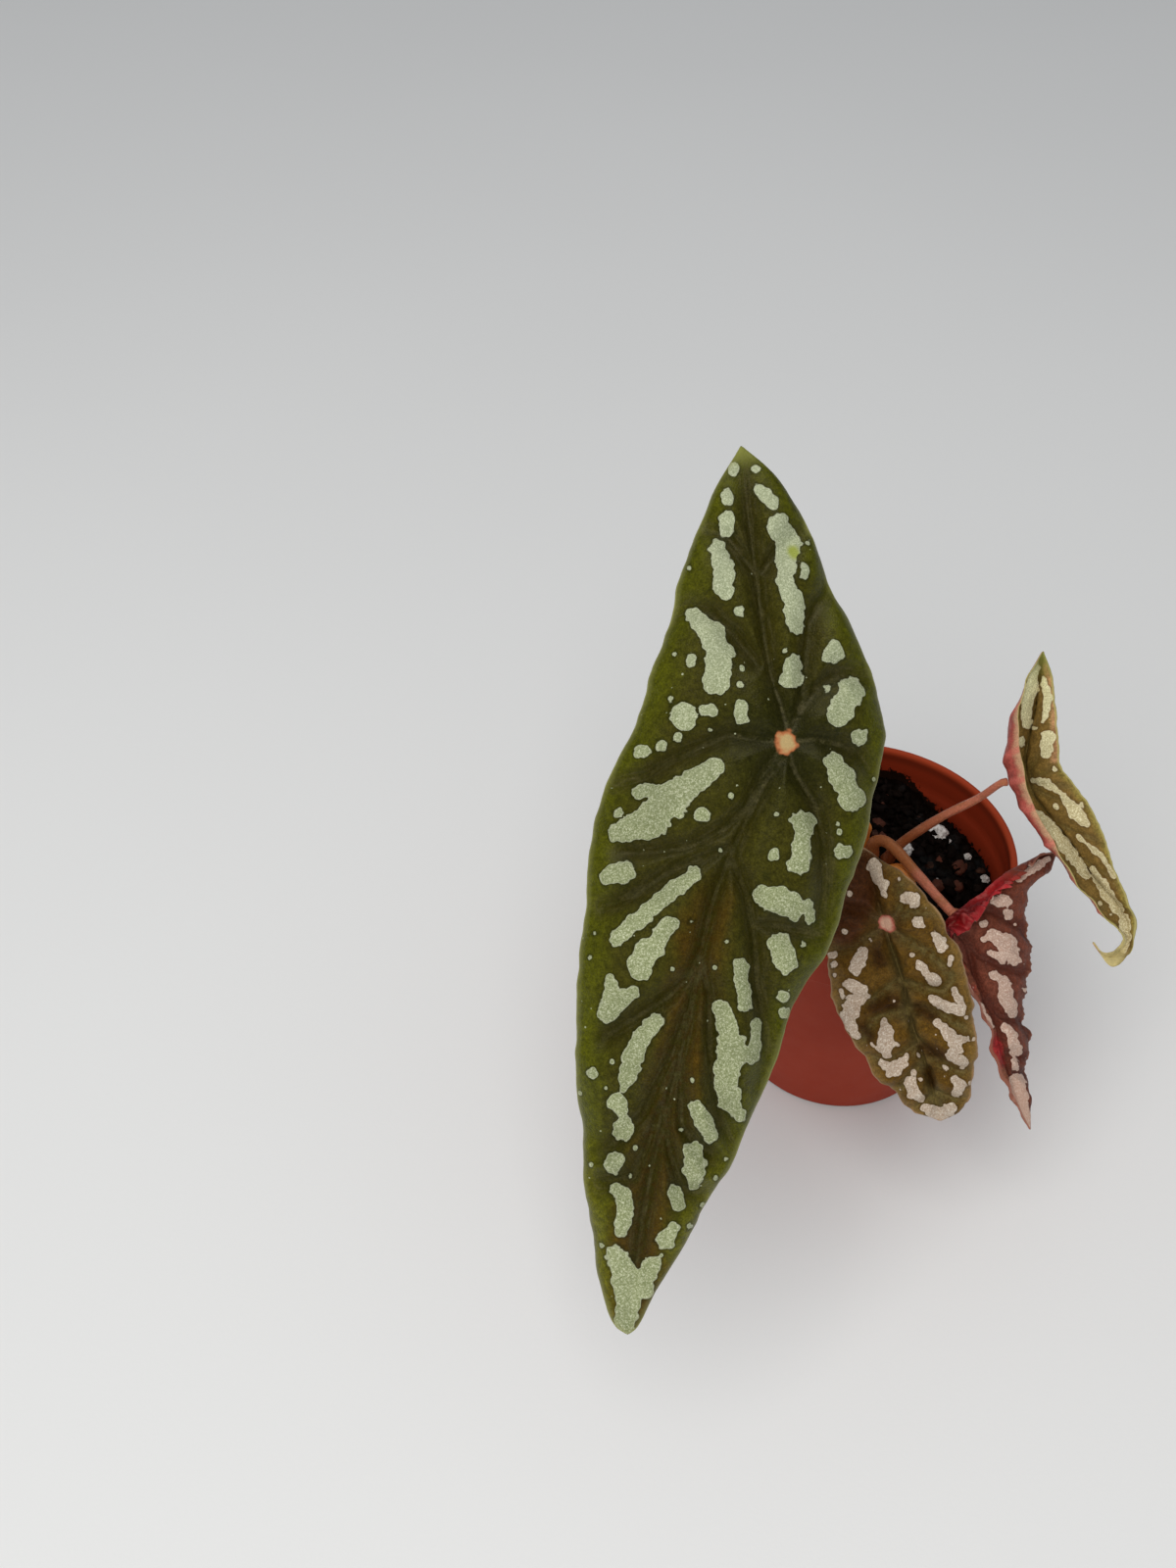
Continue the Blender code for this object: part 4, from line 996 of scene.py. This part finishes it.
def blade_lift(guides, blade, along, across, sheet, hub, vein):
    """Rise of a blade's middle: domes between the veins, grooves, puckers and waves."""
    dome = 1.0 - np.exp(-(vein / guides.panel_width) ** 1.7)
    dome *= smooth_step(hub, 0.0, guides.panel_length * 0.4) * (1.0 - across**6)
    groove = np.exp(-(vein / GROOVE_WIDTH) ** 2) * smooth_step(hub, 1.0, 4.0) * (1.0 - across**2)
    wave = np.sin(math.tau * along * blade.length / guides.ripple_length + across)
    pucker = noise_at(sheet, guides.pucker_length)
    pucker = pucker + 0.5 * noise_at(sheet, guides.pucker_length / 2.3)
    lift = guides.panel_rise * dome - guides.groove * groove
    lift += guides.ripple * np.abs(across) ** 3 * wave
    lift += frill(guides, blade, along, across)
    lift += guides.pucker * pucker * smooth_step(hub, 1.5, 4.0)
    return lift


def build_blade(name):
    """A leaf's blade; gives its stalk point and the way up there."""
    guides = LEAVES[name]
    blade = Blade(guides)
    along, across = sheet_grid(*guides.grid)
    sheet, up = blade.sheet(along, across), blade.normal(along, across)
    stalk_at = [np.array([share]) for share in guides.stalk_at]
    seat = blade.sheet(*stalk_at)[0]
    rib_way, vein, side_vein = vein_distance(name, blade, along, sheet, picture_places(sheet, seat))
    hub = np.linalg.norm(sheet - seat, axis=1)
    taper = np.clip(np.sin(math.pi * along) * 3.0, 0.0, 1.0)
    lift = blade_lift(guides, blade, along, across, sheet, hub, vein) * taper
    spread = np.where(across < 0.0, *guides.tooth) * margin_notch(guides, blade, along, across)
    spread *= np.abs(across) ** 10 * taper
    reach = blade.reach(along, across)
    middle = sheet + up * lift[:, None] + unit(reach) * spread[:, None]

    # The blade thins towards its margin, and its ribs stand out underneath
    half = guides.thickness / 2 * (1.0 - MARGIN_THINNING * across**2)
    rib_size = smooth_step(1.0 - along, 0.0, 0.8) * guides.rib_depth
    rib = rib_size * np.exp(-(rib_way / RIB_WIDTH) ** 2)
    rib = rib + SIDE_RIB_SHARE * rib_size * np.exp(-(side_vein / SIDE_RIB_WIDTH) ** 2)
    rib *= taper * (1.0 - across**4)
    top = middle + up * half[:, None]
    bottom = middle - up * (half + rib)[:, None]

    shown = picture_places(top, seat)
    readings = {
        "spot": depth_in_chains(shown, SPOTS[name], spot_lobes(shown, guides.lobe)),
        "vein": vein,
        "tint": depth_in_chains(shown, TINTS[name]),
        "hollow": depth_in_chains(shown, HOLLOWS),
        "rib": rib_way,
        "down": shown[:, 1],
        "hub": hub,
        "edge": (1.0 - np.abs(across)) * np.linalg.norm(reach, axis=1),
        "along": along,
        "across": across,
    }
    readings = {label: np.tile(values, 2) for label, values in readings.items()}
    faces, top_faces = closed_sheet_faces(*guides.grid)
    kinds = np.zeros(len(faces), np.int32)
    kinds[top_faces:2 * top_faces] = 1
    materials = [blade_top_material(name), blade_under_material(name)]
    thing = fill_mesh("blade_" + name, np.vstack([top, bottom]), faces, materials, readings, kinds)
    stand_for(thing, "leaf_" + name)
    return seat, blade.normal(*stalk_at)[0]


def tube_object(name, points, radii, sides, material, flutes, sheath=0.0):
    """Closed tube along points with a radius at each; its rings don't twist."""
    ahead = unit(np.gradient(points, axis=0))
    across = np.cross(ahead[0], (0.0, 0.0, 1.0))
    if np.linalg.norm(across) < 0.1:
        across = np.cross(ahead[0], (1.0, 0.0, 0.0))
    turns = np.arange(sides) * math.tau / sides
    swell = 1.0 + flutes * np.cos(5 * turns)
    rings = []
    for place, way, radius in zip(points, ahead, radii):
        across = across - way * (across @ way)
        across = across / np.linalg.norm(across)
        side = np.cross(way, across)
        ring = np.outer(np.cos(turns) * swell, across) + np.outer(np.sin(turns) * swell, side)
        rings.append(place + ring * radius)
    count = len(points)
    first, last = count * sides, count * sides + 1
    steps = [(s, (s + 1) % sides) for s in range(sides)]
    faces = []
    for low in range(0, (count - 1) * sides, sides):
        faces += [(low + s, low + e, low + sides + e, low + sides + s) for s, e in steps]
    for s, e in steps:
        faces += [(first, e, s), (last, first - sides + s, first - sides + e)]
    share = np.repeat(np.linspace(0.0, 1.0, count), sides)
    along = np.concatenate([share, [0.0, 1.0]])
    readings = {"along": along, "sheath": np.full(len(along), sheath)}
    return fill_mesh(name, np.vstack(rings + [points[:1], points[-1:]]), faces, [material], readings)


def stalk_material():
    shader = Shader("stalk_skin")
    along = shader.reading("along")
    blotch = shader.noise(2.2, 3.0)
    grain = shader.noise(0.3, 2.0, 0.7)
    base = shader.mix(along.step(0.15, 0.75), COLOURS.stalk_foot, COLOURS.stalk_head)
    base = base.mix(blotch.step(0.45, 0.75), COLOURS.stalk_blotch)
    base = base.mix(shader.reading("sheath") * along.step(0.6, 0.52), COLOURS.sheath)
    base = base.shade(grain, 0.75, 1.2)
    return shader.finish(base, grain + blotch, depth=0.05, rough=0.42, gloss=0.18, glow=(0.15, 0.35))


def build_stalk(name, seat, up, material):
    stalk = STALKS[name]
    head = (tuple(seat - up * STALK_LEAD), tuple(seat - up * STALK_SINK))
    points = smooth_curve(stalk.path + head, STALK_RINGS)
    first, last = stalk.radius
    share = np.linspace(0.0, 1.0, STALK_RINGS)
    radii = first + (last - first) * share
    foot = STALK_FOOT[0] * np.exp(-share / STALK_FOOT[1])
    top = STALK_HEAD[0] * np.exp(-(1.0 - share) / STALK_HEAD[1])
    radii *= 1.0 + foot + top
    radii *= 1.0 + STALK_WAVER * np.sin(share * 23.0 + len(name))
    sheath = 1.0 if name == "folded" else 0.0
    thing = tube_object("stalk_" + name, points, radii, STALK_SIDES, material, STALK_FLUTES, sheath)
    stand_for(thing, "petiole_" + name)


def cane_material():
    shader = Shader("cane_skin")
    streak = shader.noise(1.1, 4.0, 0.65)
    grain = shader.noise(0.25, 2.0, 0.7)
    base = shader.mix(streak.step(0.3, 0.7), COLOURS.cane, COLOURS.cane_pale)
    return shader.finish(base, streak + grain, depth=0.08, rough=0.55, gloss=0.2)


def build_stem():
    top = STEM_TOP + STEM_CROWN
    heights = np.linspace(STEM_BOTTOM, top, STEM_RINGS)
    foot = np.tile(STEM_AT, (STEM_RINGS, 1))
    radii = np.full(STEM_RINGS, STEM_RADIUS)
    for node in STEM_NODES:
        radii += STEM_NODE_SWELL * np.exp(-((heights - node) / STEM_NODE_LENGTH) ** 2)
    crown = np.clip((top - heights) / STEM_CROWN_LENGTH, 0.0, 1.0)
    radii *= np.sqrt(crown * (2.0 - crown)) * 0.95 + 0.05
    points = np.column_stack([foot, heights])
    thing = tube_object("cane", points, radii, STEM_SIDES, cane_material(), STEM_FLUTES)
    stand_for(thing, "stem")


def stipule_material():
    shader = Shader("stipule_skin")
    fibre = (shader.reading("across") * 34.0).math("SINE")
    blotch = shader.noise(1.6, 3.0)
    # Painted light: these colours are lighter than the stipule's own, to light it where it sits in shade
    base = shader.mix(blotch.step(0.3, 0.7), COLOURS.stipule, COLOURS.stipule_pale)
    base = base.mix(shader.reading("along").step(0.5, 1.0), COLOURS.stipule_tip)
    return shader.finish(base, fibre + blotch, depth=0.03, rough=0.4, gloss=0.2, glow=(0.3, 0.45))


def build_stipule(name, material):
    blade = Blade(STIPULES[name])
    along, across = sheet_grid(*STIPULE_GRID)
    sheet, up = blade.sheet(along, across), blade.normal(along, across)
    lift = STIPULE_PLEATS * np.cos(across * 28.0) + STIPULE_CRUMPLE * noise_at(sheet, 1.8)
    lift += STIPULE_WAVE * across**2 * np.sin(along * 11.0)
    middle = sheet + up * (lift * np.sin(math.pi * along))[:, None]
    half = up * (STIPULE_THICKNESS / 2 * (1.0 - 0.5 * across**2))[:, None]
    faces, _ = closed_sheet_faces(*STIPULE_GRID)
    readings = {"along": np.tile(along, 2), "across": np.tile(across, 2)}
    points = np.vstack([middle + half, middle - half])
    thing = fill_mesh("sheath_" + name, points, faces, [material], readings)
    stand_for(thing, "stipule_" + name)


def corner(centre, radius, start, end, steps):
    """Points of an arc in the pot's profile, from the start angle to the end angle."""
    angles = [math.radians(start + (end - start) * k / steps) for k in range(steps + 1)]
    return [(centre[0] + radius * math.cos(a), centre[1] + radius * math.sin(a)) for a in angles]


def wall_radius(height):
    """Outer radius of the pot's tapered wall below the collar."""
    top = POT_RIM_RADIUS - COLLAR_STEP - COLLAR_INSET
    share = height / (POT_HEIGHT - COLLAR_HEIGHT)
    return POT_BASE_RADIUS + (top - POT_BASE_RADIUS) * share


def inner_radius(height):
    return wall_radius(height) - POT_WALL


def pot_material():
    shader = Shader("pot_plastic")
    cloudy = shader.noise(14.0, 3.0)
    grain = shader.noise(0.35, 2.0, 0.7)
    scuff = shader.noise(3.0, 5.0, 0.7)
    base = shader.mix(cloudy.step(0.3, 0.7), COLOURS.pot, COLOURS.pot_cloud)
    base = base.mix(scuff.step(0.6, 0.8), COLOURS.pot_scuff)
    x, y, height = shader.axes()
    # Painted light bounced up from the floor: the outside is lighter towards its base
    base = base.shade(height, 1.15, 1.0, 2.0 * MM, 34.0 * MM)

    # The inside is a deeper red that paints light bounced inside the pot, darker towards its bottom as
    # painted shade, with a painted shadow under the lip, and dirty where the soil has been
    slope = (wall_radius(POT_HEIGHT) - POT_BASE_RADIUS) / POT_HEIGHT
    wall = height * slope + POT_BASE_RADIUS * MM
    deep = ((x * x + y * y).math("SQRT") - wall).step(-0.3 * MM, -0.6 * MM)
    base = base.mix(deep, shader.shade(COLOURS.pot_inside_bounce, height, 0.7, 1.0, 46.0 * MM, 54.0 * MM))
    base = base.mix(height.step(54.4 * MM, 56.2 * MM) * deep * 0.45, COLOURS.pot_shadow)
    aside = x * math.cos(SLUMP_WAY) + y * math.sin(SLUMP_WAY)
    sunk = aside.ramp(0.0, (SLUMP + 1.2) * MM, 14.0 * MM, 23.0 * MM)
    rise = (height + sunk).ramp(0.3, -0.3, (SOIL_LEVEL + 0.5) * MM, (SOIL_LEVEL + 4.5) * MM)
    dirt = (shader.noise(1.3, 4.0, 0.7) + rise).step(0.6, 0.66)
    base = base.mix(dirt * deep, COLOURS.pot_dirt)
    # A painted highlight along the top of the lip
    lip_highlight = height.step((POT_HEIGHT - 1.5) * MM, (POT_HEIGHT - 0.6) * MM)
    base = base.mix(lip_highlight * 0.8, COLOURS.pot_lip_highlight)
    return shader.finish(base, grain + scuff, depth=0.02, rough=scuff.ramp(0.38, 0.55), gloss=0.05)


def pot_profile():
    """Half of the pot's cut face, as radius and height, from the inside's middle out."""
    collar_foot = POT_HEIGHT - COLLAR_HEIGHT
    rim_mid = POT_RIM_RADIUS - LIP_ROUND
    inside_top = rim_mid - LIP_ROUND
    outer = wall_radius(collar_foot)
    collar = (outer + COLLAR_STEP - COLLAR_ROUND, collar_foot + 0.4)
    profile = [(0.0, POT_FLOOR)]
    inside_corner = (inner_radius(POT_FLOOR) - INSIDE_ROUND, POT_FLOOR + INSIDE_ROUND)
    profile += corner(inside_corner, INSIDE_ROUND, -90, 0, 6)
    profile += [(inner_radius(h), h) for h in np.linspace(5.0, collar_foot, 14)]
    profile += [(inside_top - 0.35, collar_foot + 1.0), (inside_top, collar_foot + 1.6)]
    profile += [(inside_top, h) for h in np.linspace(collar_foot + 3.0, POT_HEIGHT - 1.6, 4)]
    profile += corner((rim_mid, POT_HEIGHT - LIP_ROUND), LIP_ROUND, 180, 0, 14)
    profile += [(outer + COLLAR_STEP + 0.3, POT_HEIGHT - 2.0)]
    profile += corner(collar, COLLAR_ROUND, 0, -90, 5)
    profile += [(outer + 0.1, collar_foot + 0.1), (wall_radius(collar_foot - 0.5), collar_foot - 0.5)]
    profile += [(wall_radius(h), h) for h in np.linspace(collar_foot - 2.0, 3.0, 14)]
    profile += corner((POT_BASE_RADIUS - FOOT_ROUND, FOOT_ROUND), FOOT_ROUND, 0, -90, 8)
    ring_inside = POT_BASE_RADIUS - FOOT_RING
    profile += [(ring_inside, 0.0), (ring_inside - 0.6, BASE_RECESS), (0.0, BASE_RECESS)]
    return profile


def drain_cutter(number):
    work = bmesh.new()
    bmesh.ops.create_cone(work, cap_ends=True, segments=48, radius1=DRAIN_HOLE_RADIUS * MM,
                          radius2=DRAIN_HOLE_RADIUS * MM, depth=DRAIN_CUT * MM)
    hole = bpy.data.meshes.new("drain_cutter")
    work.to_mesh(hole)
    work.free()
    angle = math.tau * (number + 0.5) / DRAIN_HOLES
    cutter = add_object("drain_cutter", hole)
    cutter.location = (DRAIN_CIRCLE_RADIUS * MM * math.cos(angle),
                       DRAIN_CIRCLE_RADIUS * MM * math.sin(angle), MM)
    return cutter


def build_pot():
    mesh = bpy.data.meshes.new("pot_turning")
    points = [(radius * MM, 0.0, height * MM) for radius, height in pot_profile()]
    mesh.from_pydata(points, [(k, k + 1) for k in range(len(points) - 1)], [])
    turning = add_object("pot_turning", mesh)
    turn = turning.modifiers.new("Turn", "SCREW")
    turn.steps = turn.render_steps = POT_SIDES
    turn.use_merge_vertices = True
    turn.merge_threshold = 0.02 * MM
    cutters = [drain_cutter(k) for k in range(DRAIN_HOLES)]
    for cutter in cutters:
        bore = turning.modifiers.new("Drain hole", "BOOLEAN")
        bore.operation = "DIFFERENCE"
        bore.object = cutter
    graph = bpy.context.evaluated_depsgraph_get()
    final = bpy.data.meshes.new_from_object(turning.evaluated_get(graph))
    for old in cutters + [turning]:
        bpy.data.objects.remove(old)
    final.materials.clear()
    final.materials.append(pot_material())
    final.shade_smooth()
    final.set_sharp_from_angle(angle=SHARP_EDGE)
    stand_for(add_object("pot_shell", final), "pot")


def soil_slump(x, y):
    """How far the soil has sunk beside the wall on the right."""
    beside = smooth_step(math.hypot(x, y), SLUMP_START, inner_radius(SOIL_LEVEL))
    facing = smooth_step(math.cos(math.atan2(y, x) - SLUMP_WAY), 0.5, 0.85)
    return SLUMP * beside * facing


def soil_height(x, y):
    """Height of the soil's top: a low mound, a slump, and crumbs of four sizes."""
    mound = SOIL_MOUND * math.cos(math.pi * min(math.hypot(x, y) / SOIL_MOUND_REACH, 1.0))
    layers = ((0.16, 3.7), (0.42, 9.1), (1.1, 2.3), (2.6, 5.9))
    coarse, fine, crumbs, grit = (noise.noise(Vector((x * k, y * k, z))) for k, z in layers)
    lumps = SOIL_ROUGHNESS * (coarse + 0.7 * fine) + 0.55 * crumbs + 0.28 * grit
    return SOIL_LEVEL + mound + lumps - soil_slump(x, y)


def dust_and_sheen(shader, base):
    """The soil's colour, greyer in wide patches: partly dust and partly a painted sheen."""
    return base.mix(shader.noise(9.0, 2.0).step(0.5, 0.7) * 0.6, COLOURS.soil_dust_and_sheen)


def soil_material():
    shader = Shader("peat")
    clod = shader.noise(2.4, 4.0, 0.6)
    grit = shader.noise(0.5, 4.0, 0.7)
    base = shader.mix(clod.step(0.35, 0.7), COLOURS.soil, COLOURS.soil_pale)
    base = dust_and_sheen(shader, base.mix(grit.step(0.6, 0.78), COLOURS.grit))
    relief = grit + shader.cells(0.9)
    return shader.finish(base, relief, depth=0.25, rough=grit.ramp(0.65, 0.85), gloss=0.05)


def build_soil():
    """Closed plug of soil: a fine crumbly top, and smooth sides down to the pot's floor."""
    wall = inner_radius(SOIL_LEVEL)
    bottom = POT_FLOOR + SOIL_GAP
    angles = np.arange(SOIL_SECTORS) * math.tau / SOIL_SECTORS
    sunk = [soil_slump(wall * math.cos(angle), wall * math.sin(angle)) for angle in angles]
    edges = [inner_radius(SOIL_LEVEL - fall) - SOIL_GAP for fall in sunk]
    verts = [(0.0, 0.0, soil_height(0.0, 0.0))]
    for ring in range(1, SOIL_RINGS + 1):
        for angle, edge in zip(angles, edges):
            radius = edge * ring / SOIL_RINGS
            x, y = radius * math.cos(angle), radius * math.sin(angle)
            verts.append((x, y, soil_height(x, y)))
    side = np.linspace(SOIL_LEVEL - SLUMP - 3.0, bottom + 3.0, SOIL_SIDE_RINGS)
    lower = [(inner_radius(h) - SOIL_GAP, h) for h in side]
    lower += [(inner_radius(bottom + 1.5) - SOIL_GAP - INSIDE_ROUND, bottom)]
    for radius, height in lower:
        verts += [(radius * math.cos(a), radius * math.sin(a), height) for a in angles]
    verts.append((0.0, 0.0, bottom))
    last_ring = 1 + (SOIL_RINGS + len(lower) - 1) * SOIL_SECTORS
    faces = []
    for s in range(SOIL_SECTORS):
        e = (s + 1) % SOIL_SECTORS
        faces.append((0, 1 + s, 1 + e))
        for low in range(1, last_ring, SOIL_SECTORS):
            faces.append((low + s, low + SOIL_SECTORS + s, low + SOIL_SECTORS + e, low + e))
        faces.append((last_ring + s, len(verts) - 1, last_ring + e))
    stand_for(fill_mesh("soil_bed", verts, faces, [soil_material()]), "soil")


def lump_shape(detail):
    """Points and faces of a round lump of radius 1."""
    work = bmesh.new()
    bmesh.ops.create_icosphere(work, subdivisions=detail, radius=1.0)
    points = np.array([v.co[:] for v in work.verts])
    faces = [tuple(v.index for v in face.verts) for face in work.faces]
    work.free()
    return points, faces


def scatter_lumps(name, lumps, material, detail, roughness):
    """One mesh of rough lumps, each given as place, sizes along three axes, turn and tone."""
    shape, shape_faces = lump_shape(detail)
    verts, faces, tones = [], [], []
    for k, (place, sizes, turn, tone) in enumerate(lumps):
        coarse_at, fine_at = Vector((k * 3.1, 0.0, 0.0)), Vector((0.0, k * 2.3, 0.0))
        bumps = np.array([noise.noise(Vector(p) * 1.4 + coarse_at) for p in shape])
        fine = np.array([noise.noise(Vector(p) * 3.7 + fine_at) for p in shape])
        points = shape * (1.0 + roughness * bumps + 0.4 * roughness * fine)[:, None] * np.array(sizes)
        lean, spin = turn
        cos_l, sin_l, cos_s, sin_s = math.cos(lean), math.sin(lean), math.cos(spin), math.sin(spin)
        tilt = np.array([[1, 0, 0], [0, cos_l, -sin_l], [0, sin_l, cos_l]])
        yaw = np.array([[cos_s, -sin_s, 0], [sin_s, cos_s, 0], [0, 0, 1]])
        verts.append(points @ (yaw @ tilt).T + np.array(place))
        faces += [tuple(k * len(shape) + v for v in face) for face in shape_faces]
        tones.append(np.full(len(shape), tone))
    thing = fill_mesh(name, np.vstack(verts), faces, [material], {"tone": np.concatenate(tones)})
    stand_for(thing, None)


def crumb_material():
    shader = Shader("peat_crumbs")
    grit = shader.noise(0.35, 4.0, 0.7)
    base = shader.mix(shader.reading("tone"), COLOURS.crumb, COLOURS.crumb_pale)
    base = dust_and_sheen(shader, base.shade(grit, 0.5, 1.8))
    return shader.finish(base, grit, depth=0.2, rough=0.8, gloss=0.05)


def perlite_material():
    shader = Shader("perlite")
    grit = shader.noise(0.5, 4.0, 0.7)
    base = shader.mix(grit.step(0.3, 0.65), COLOURS.perlite, COLOURS.perlite_pale)
    return shader.finish(base, shader.cells(0.6) + grit, depth=0.2, rough=0.85, gloss=0.15)


def bark_material():
    shader = Shader("bark_chips")
    grit = shader.noise(0.8, 4.0, 0.7)
    base = shader.mix(shader.reading("tone"), COLOURS.bark, COLOURS.bark_pale)
    base = base.mix(grit.step(0.5, 0.75), COLOURS.bark_grit)
    return shader.finish(base, grit, depth=0.3, rough=0.8, gloss=0.15)


def soil_spot(draw, reach):
    """A random place on the soil, clear of the stem."""
    while True:
        angle, radius = draw.uniform(0.0, math.tau), reach * math.sqrt(draw.uniform(0.0, 1.0))
        x, y = radius * math.cos(angle), radius * math.sin(angle)
        if math.hypot(x - STEM_AT[0], y - STEM_AT[1]) > STEM_RADIUS + 1.2:
            return x, y


def random_lumps(draw, kind):
    """Lumps scattered on the soil, most of them small, sunk to about their middle."""
    lumps = []
    for _ in range(kind.count):
        size = kind.small + (kind.large - kind.small) * draw.uniform(0.0, 1.0) ** 2.5
        x, y = soil_spot(draw, inner_radius(SOIL_LEVEL) - SOIL_GAP - size - 0.3)
        sizes = (size, size * draw.uniform(0.6, 1.0), size * draw.uniform(*kind.flat))
        turn = (draw.uniform(-0.9, 0.9), draw.uniform(0.0, math.tau))
        height = soil_height(x, y) + size * draw.uniform(0.0, 0.5)
        lumps.append(((x, y, height), sizes, turn, draw.uniform(*kind.tones)))
    return lumps


def build_soil_pieces():
    draw = np.random.default_rng(SEED)
    build_soil()
    crumbs = random_lumps(draw, CRUMBS)
    scatter_lumps("soil_crumbs", crumbs, crumb_material(), detail=2, roughness=0.9)
    kinds = {"perlite": [], "bark": []}
    for x, y, radius, kind in GRAINS:
        sizes = (radius, radius * draw.uniform(0.8, 0.95), radius * draw.uniform(0.7, 0.85))
        turn = (draw.uniform(-0.4, 0.4), draw.uniform(0.0, math.tau))
        lump = ((x, y, soil_height(x, y) + radius * 0.35), sizes, turn, draw.uniform(0.4, 1.0))
        kinds[kind].append(lump)
    perlite = kinds["perlite"] + random_lumps(draw, SMALL_PERLITE)
    bark = kinds["bark"] + random_lumps(draw, SMALL_BARK)
    scatter_lumps("soil_perlite", perlite, perlite_material(), detail=4, roughness=0.4)
    scatter_lumps("soil_bark", bark, bark_material(), detail=3, roughness=0.4)


def floor_material():
    shader = Shader("pale_floor")
    cloudy = shader.noise(260.0, 2.0)
    dull = tuple(channel * 0.985 for channel in COLOURS.floor)
    base = shader.mix(cloudy.step(0.3, 0.7), dull, COLOURS.floor)
    return shader.finish(base, shader.noise(0.8, 2.0, 0.6), depth=0.02, rough=0.75, gloss=0.2)


def build_stage():
    mesh = bpy.data.meshes.new("floor")
    work = bmesh.new()
    bmesh.ops.create_grid(work, x_segments=8, y_segments=8, size=FLOOR_SIZE / 2)
    work.to_mesh(mesh)
    work.free()
    mesh.materials.append(floor_material())
    floor = add_object("floor", mesh)
    floor.location = (0.0, 0.0, -FLOOR_DROP)


def add_area_light(lamp):
    data = bpy.data.lights.new(lamp.name, "AREA")
    data.shape = "DISK"
    data.size = lamp.size
    data.energy = lamp.power
    data.color = lamp.colour
    light = add_object(lamp.name, data)
    light.location = lamp.place
    aim = Vector(lamp.target) - Vector(lamp.place)
    light.rotation_euler = aim.to_track_quat("-Z", "Y").to_euler()
    return light


def build_light():
    """Even light that gives no gleam, and a gleam from behind that gives no light."""
    world = bpy.data.worlds.new("studio")
    bpy.context.scene.world = world
    world.use_nodes = True
    sky = world.node_tree.nodes["Background"]
    sky.inputs["Color"].default_value = SKY_COLOUR
    sky.inputs["Strength"].default_value = SKY_STRENGTH
    world.cycles_visibility.glossy = False
    add_area_light(SOFTBOX).visible_glossy = False
    add_area_light(GLEAM).visible_diffuse = False


def build_camera():
    data = bpy.data.cameras.new("camera")
    data.sensor_width = CAMERA_FRAME
    data.sensor_fit = "AUTO"
    data.lens = CAMERA_LENS
    data.clip_start = 0.01
    data.clip_end = 20.0
    camera = add_object("camera", data)
    camera.location = tuple(CAMERA_AT * MM)
    camera.rotation_euler = (math.pi / 2 - CAMERA_DOWN, 0.0, 0.0)
    bpy.context.scene.camera = camera


def main():
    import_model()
    build_camera()
    build_light()
    build_stage()
    build_pot()
    build_soil_pieces()
    build_stem()
    stalk_skin = stalk_material()
    for name in LEAVES:
        seat, up = build_blade(name)
        build_stalk(name, seat, up, stalk_skin)
    stipule_skin = stipule_material()
    for name in STIPULES:
        build_stipule(name, stipule_skin)
    bpy.context.scene.view_settings.view_transform = "Standard"


main()
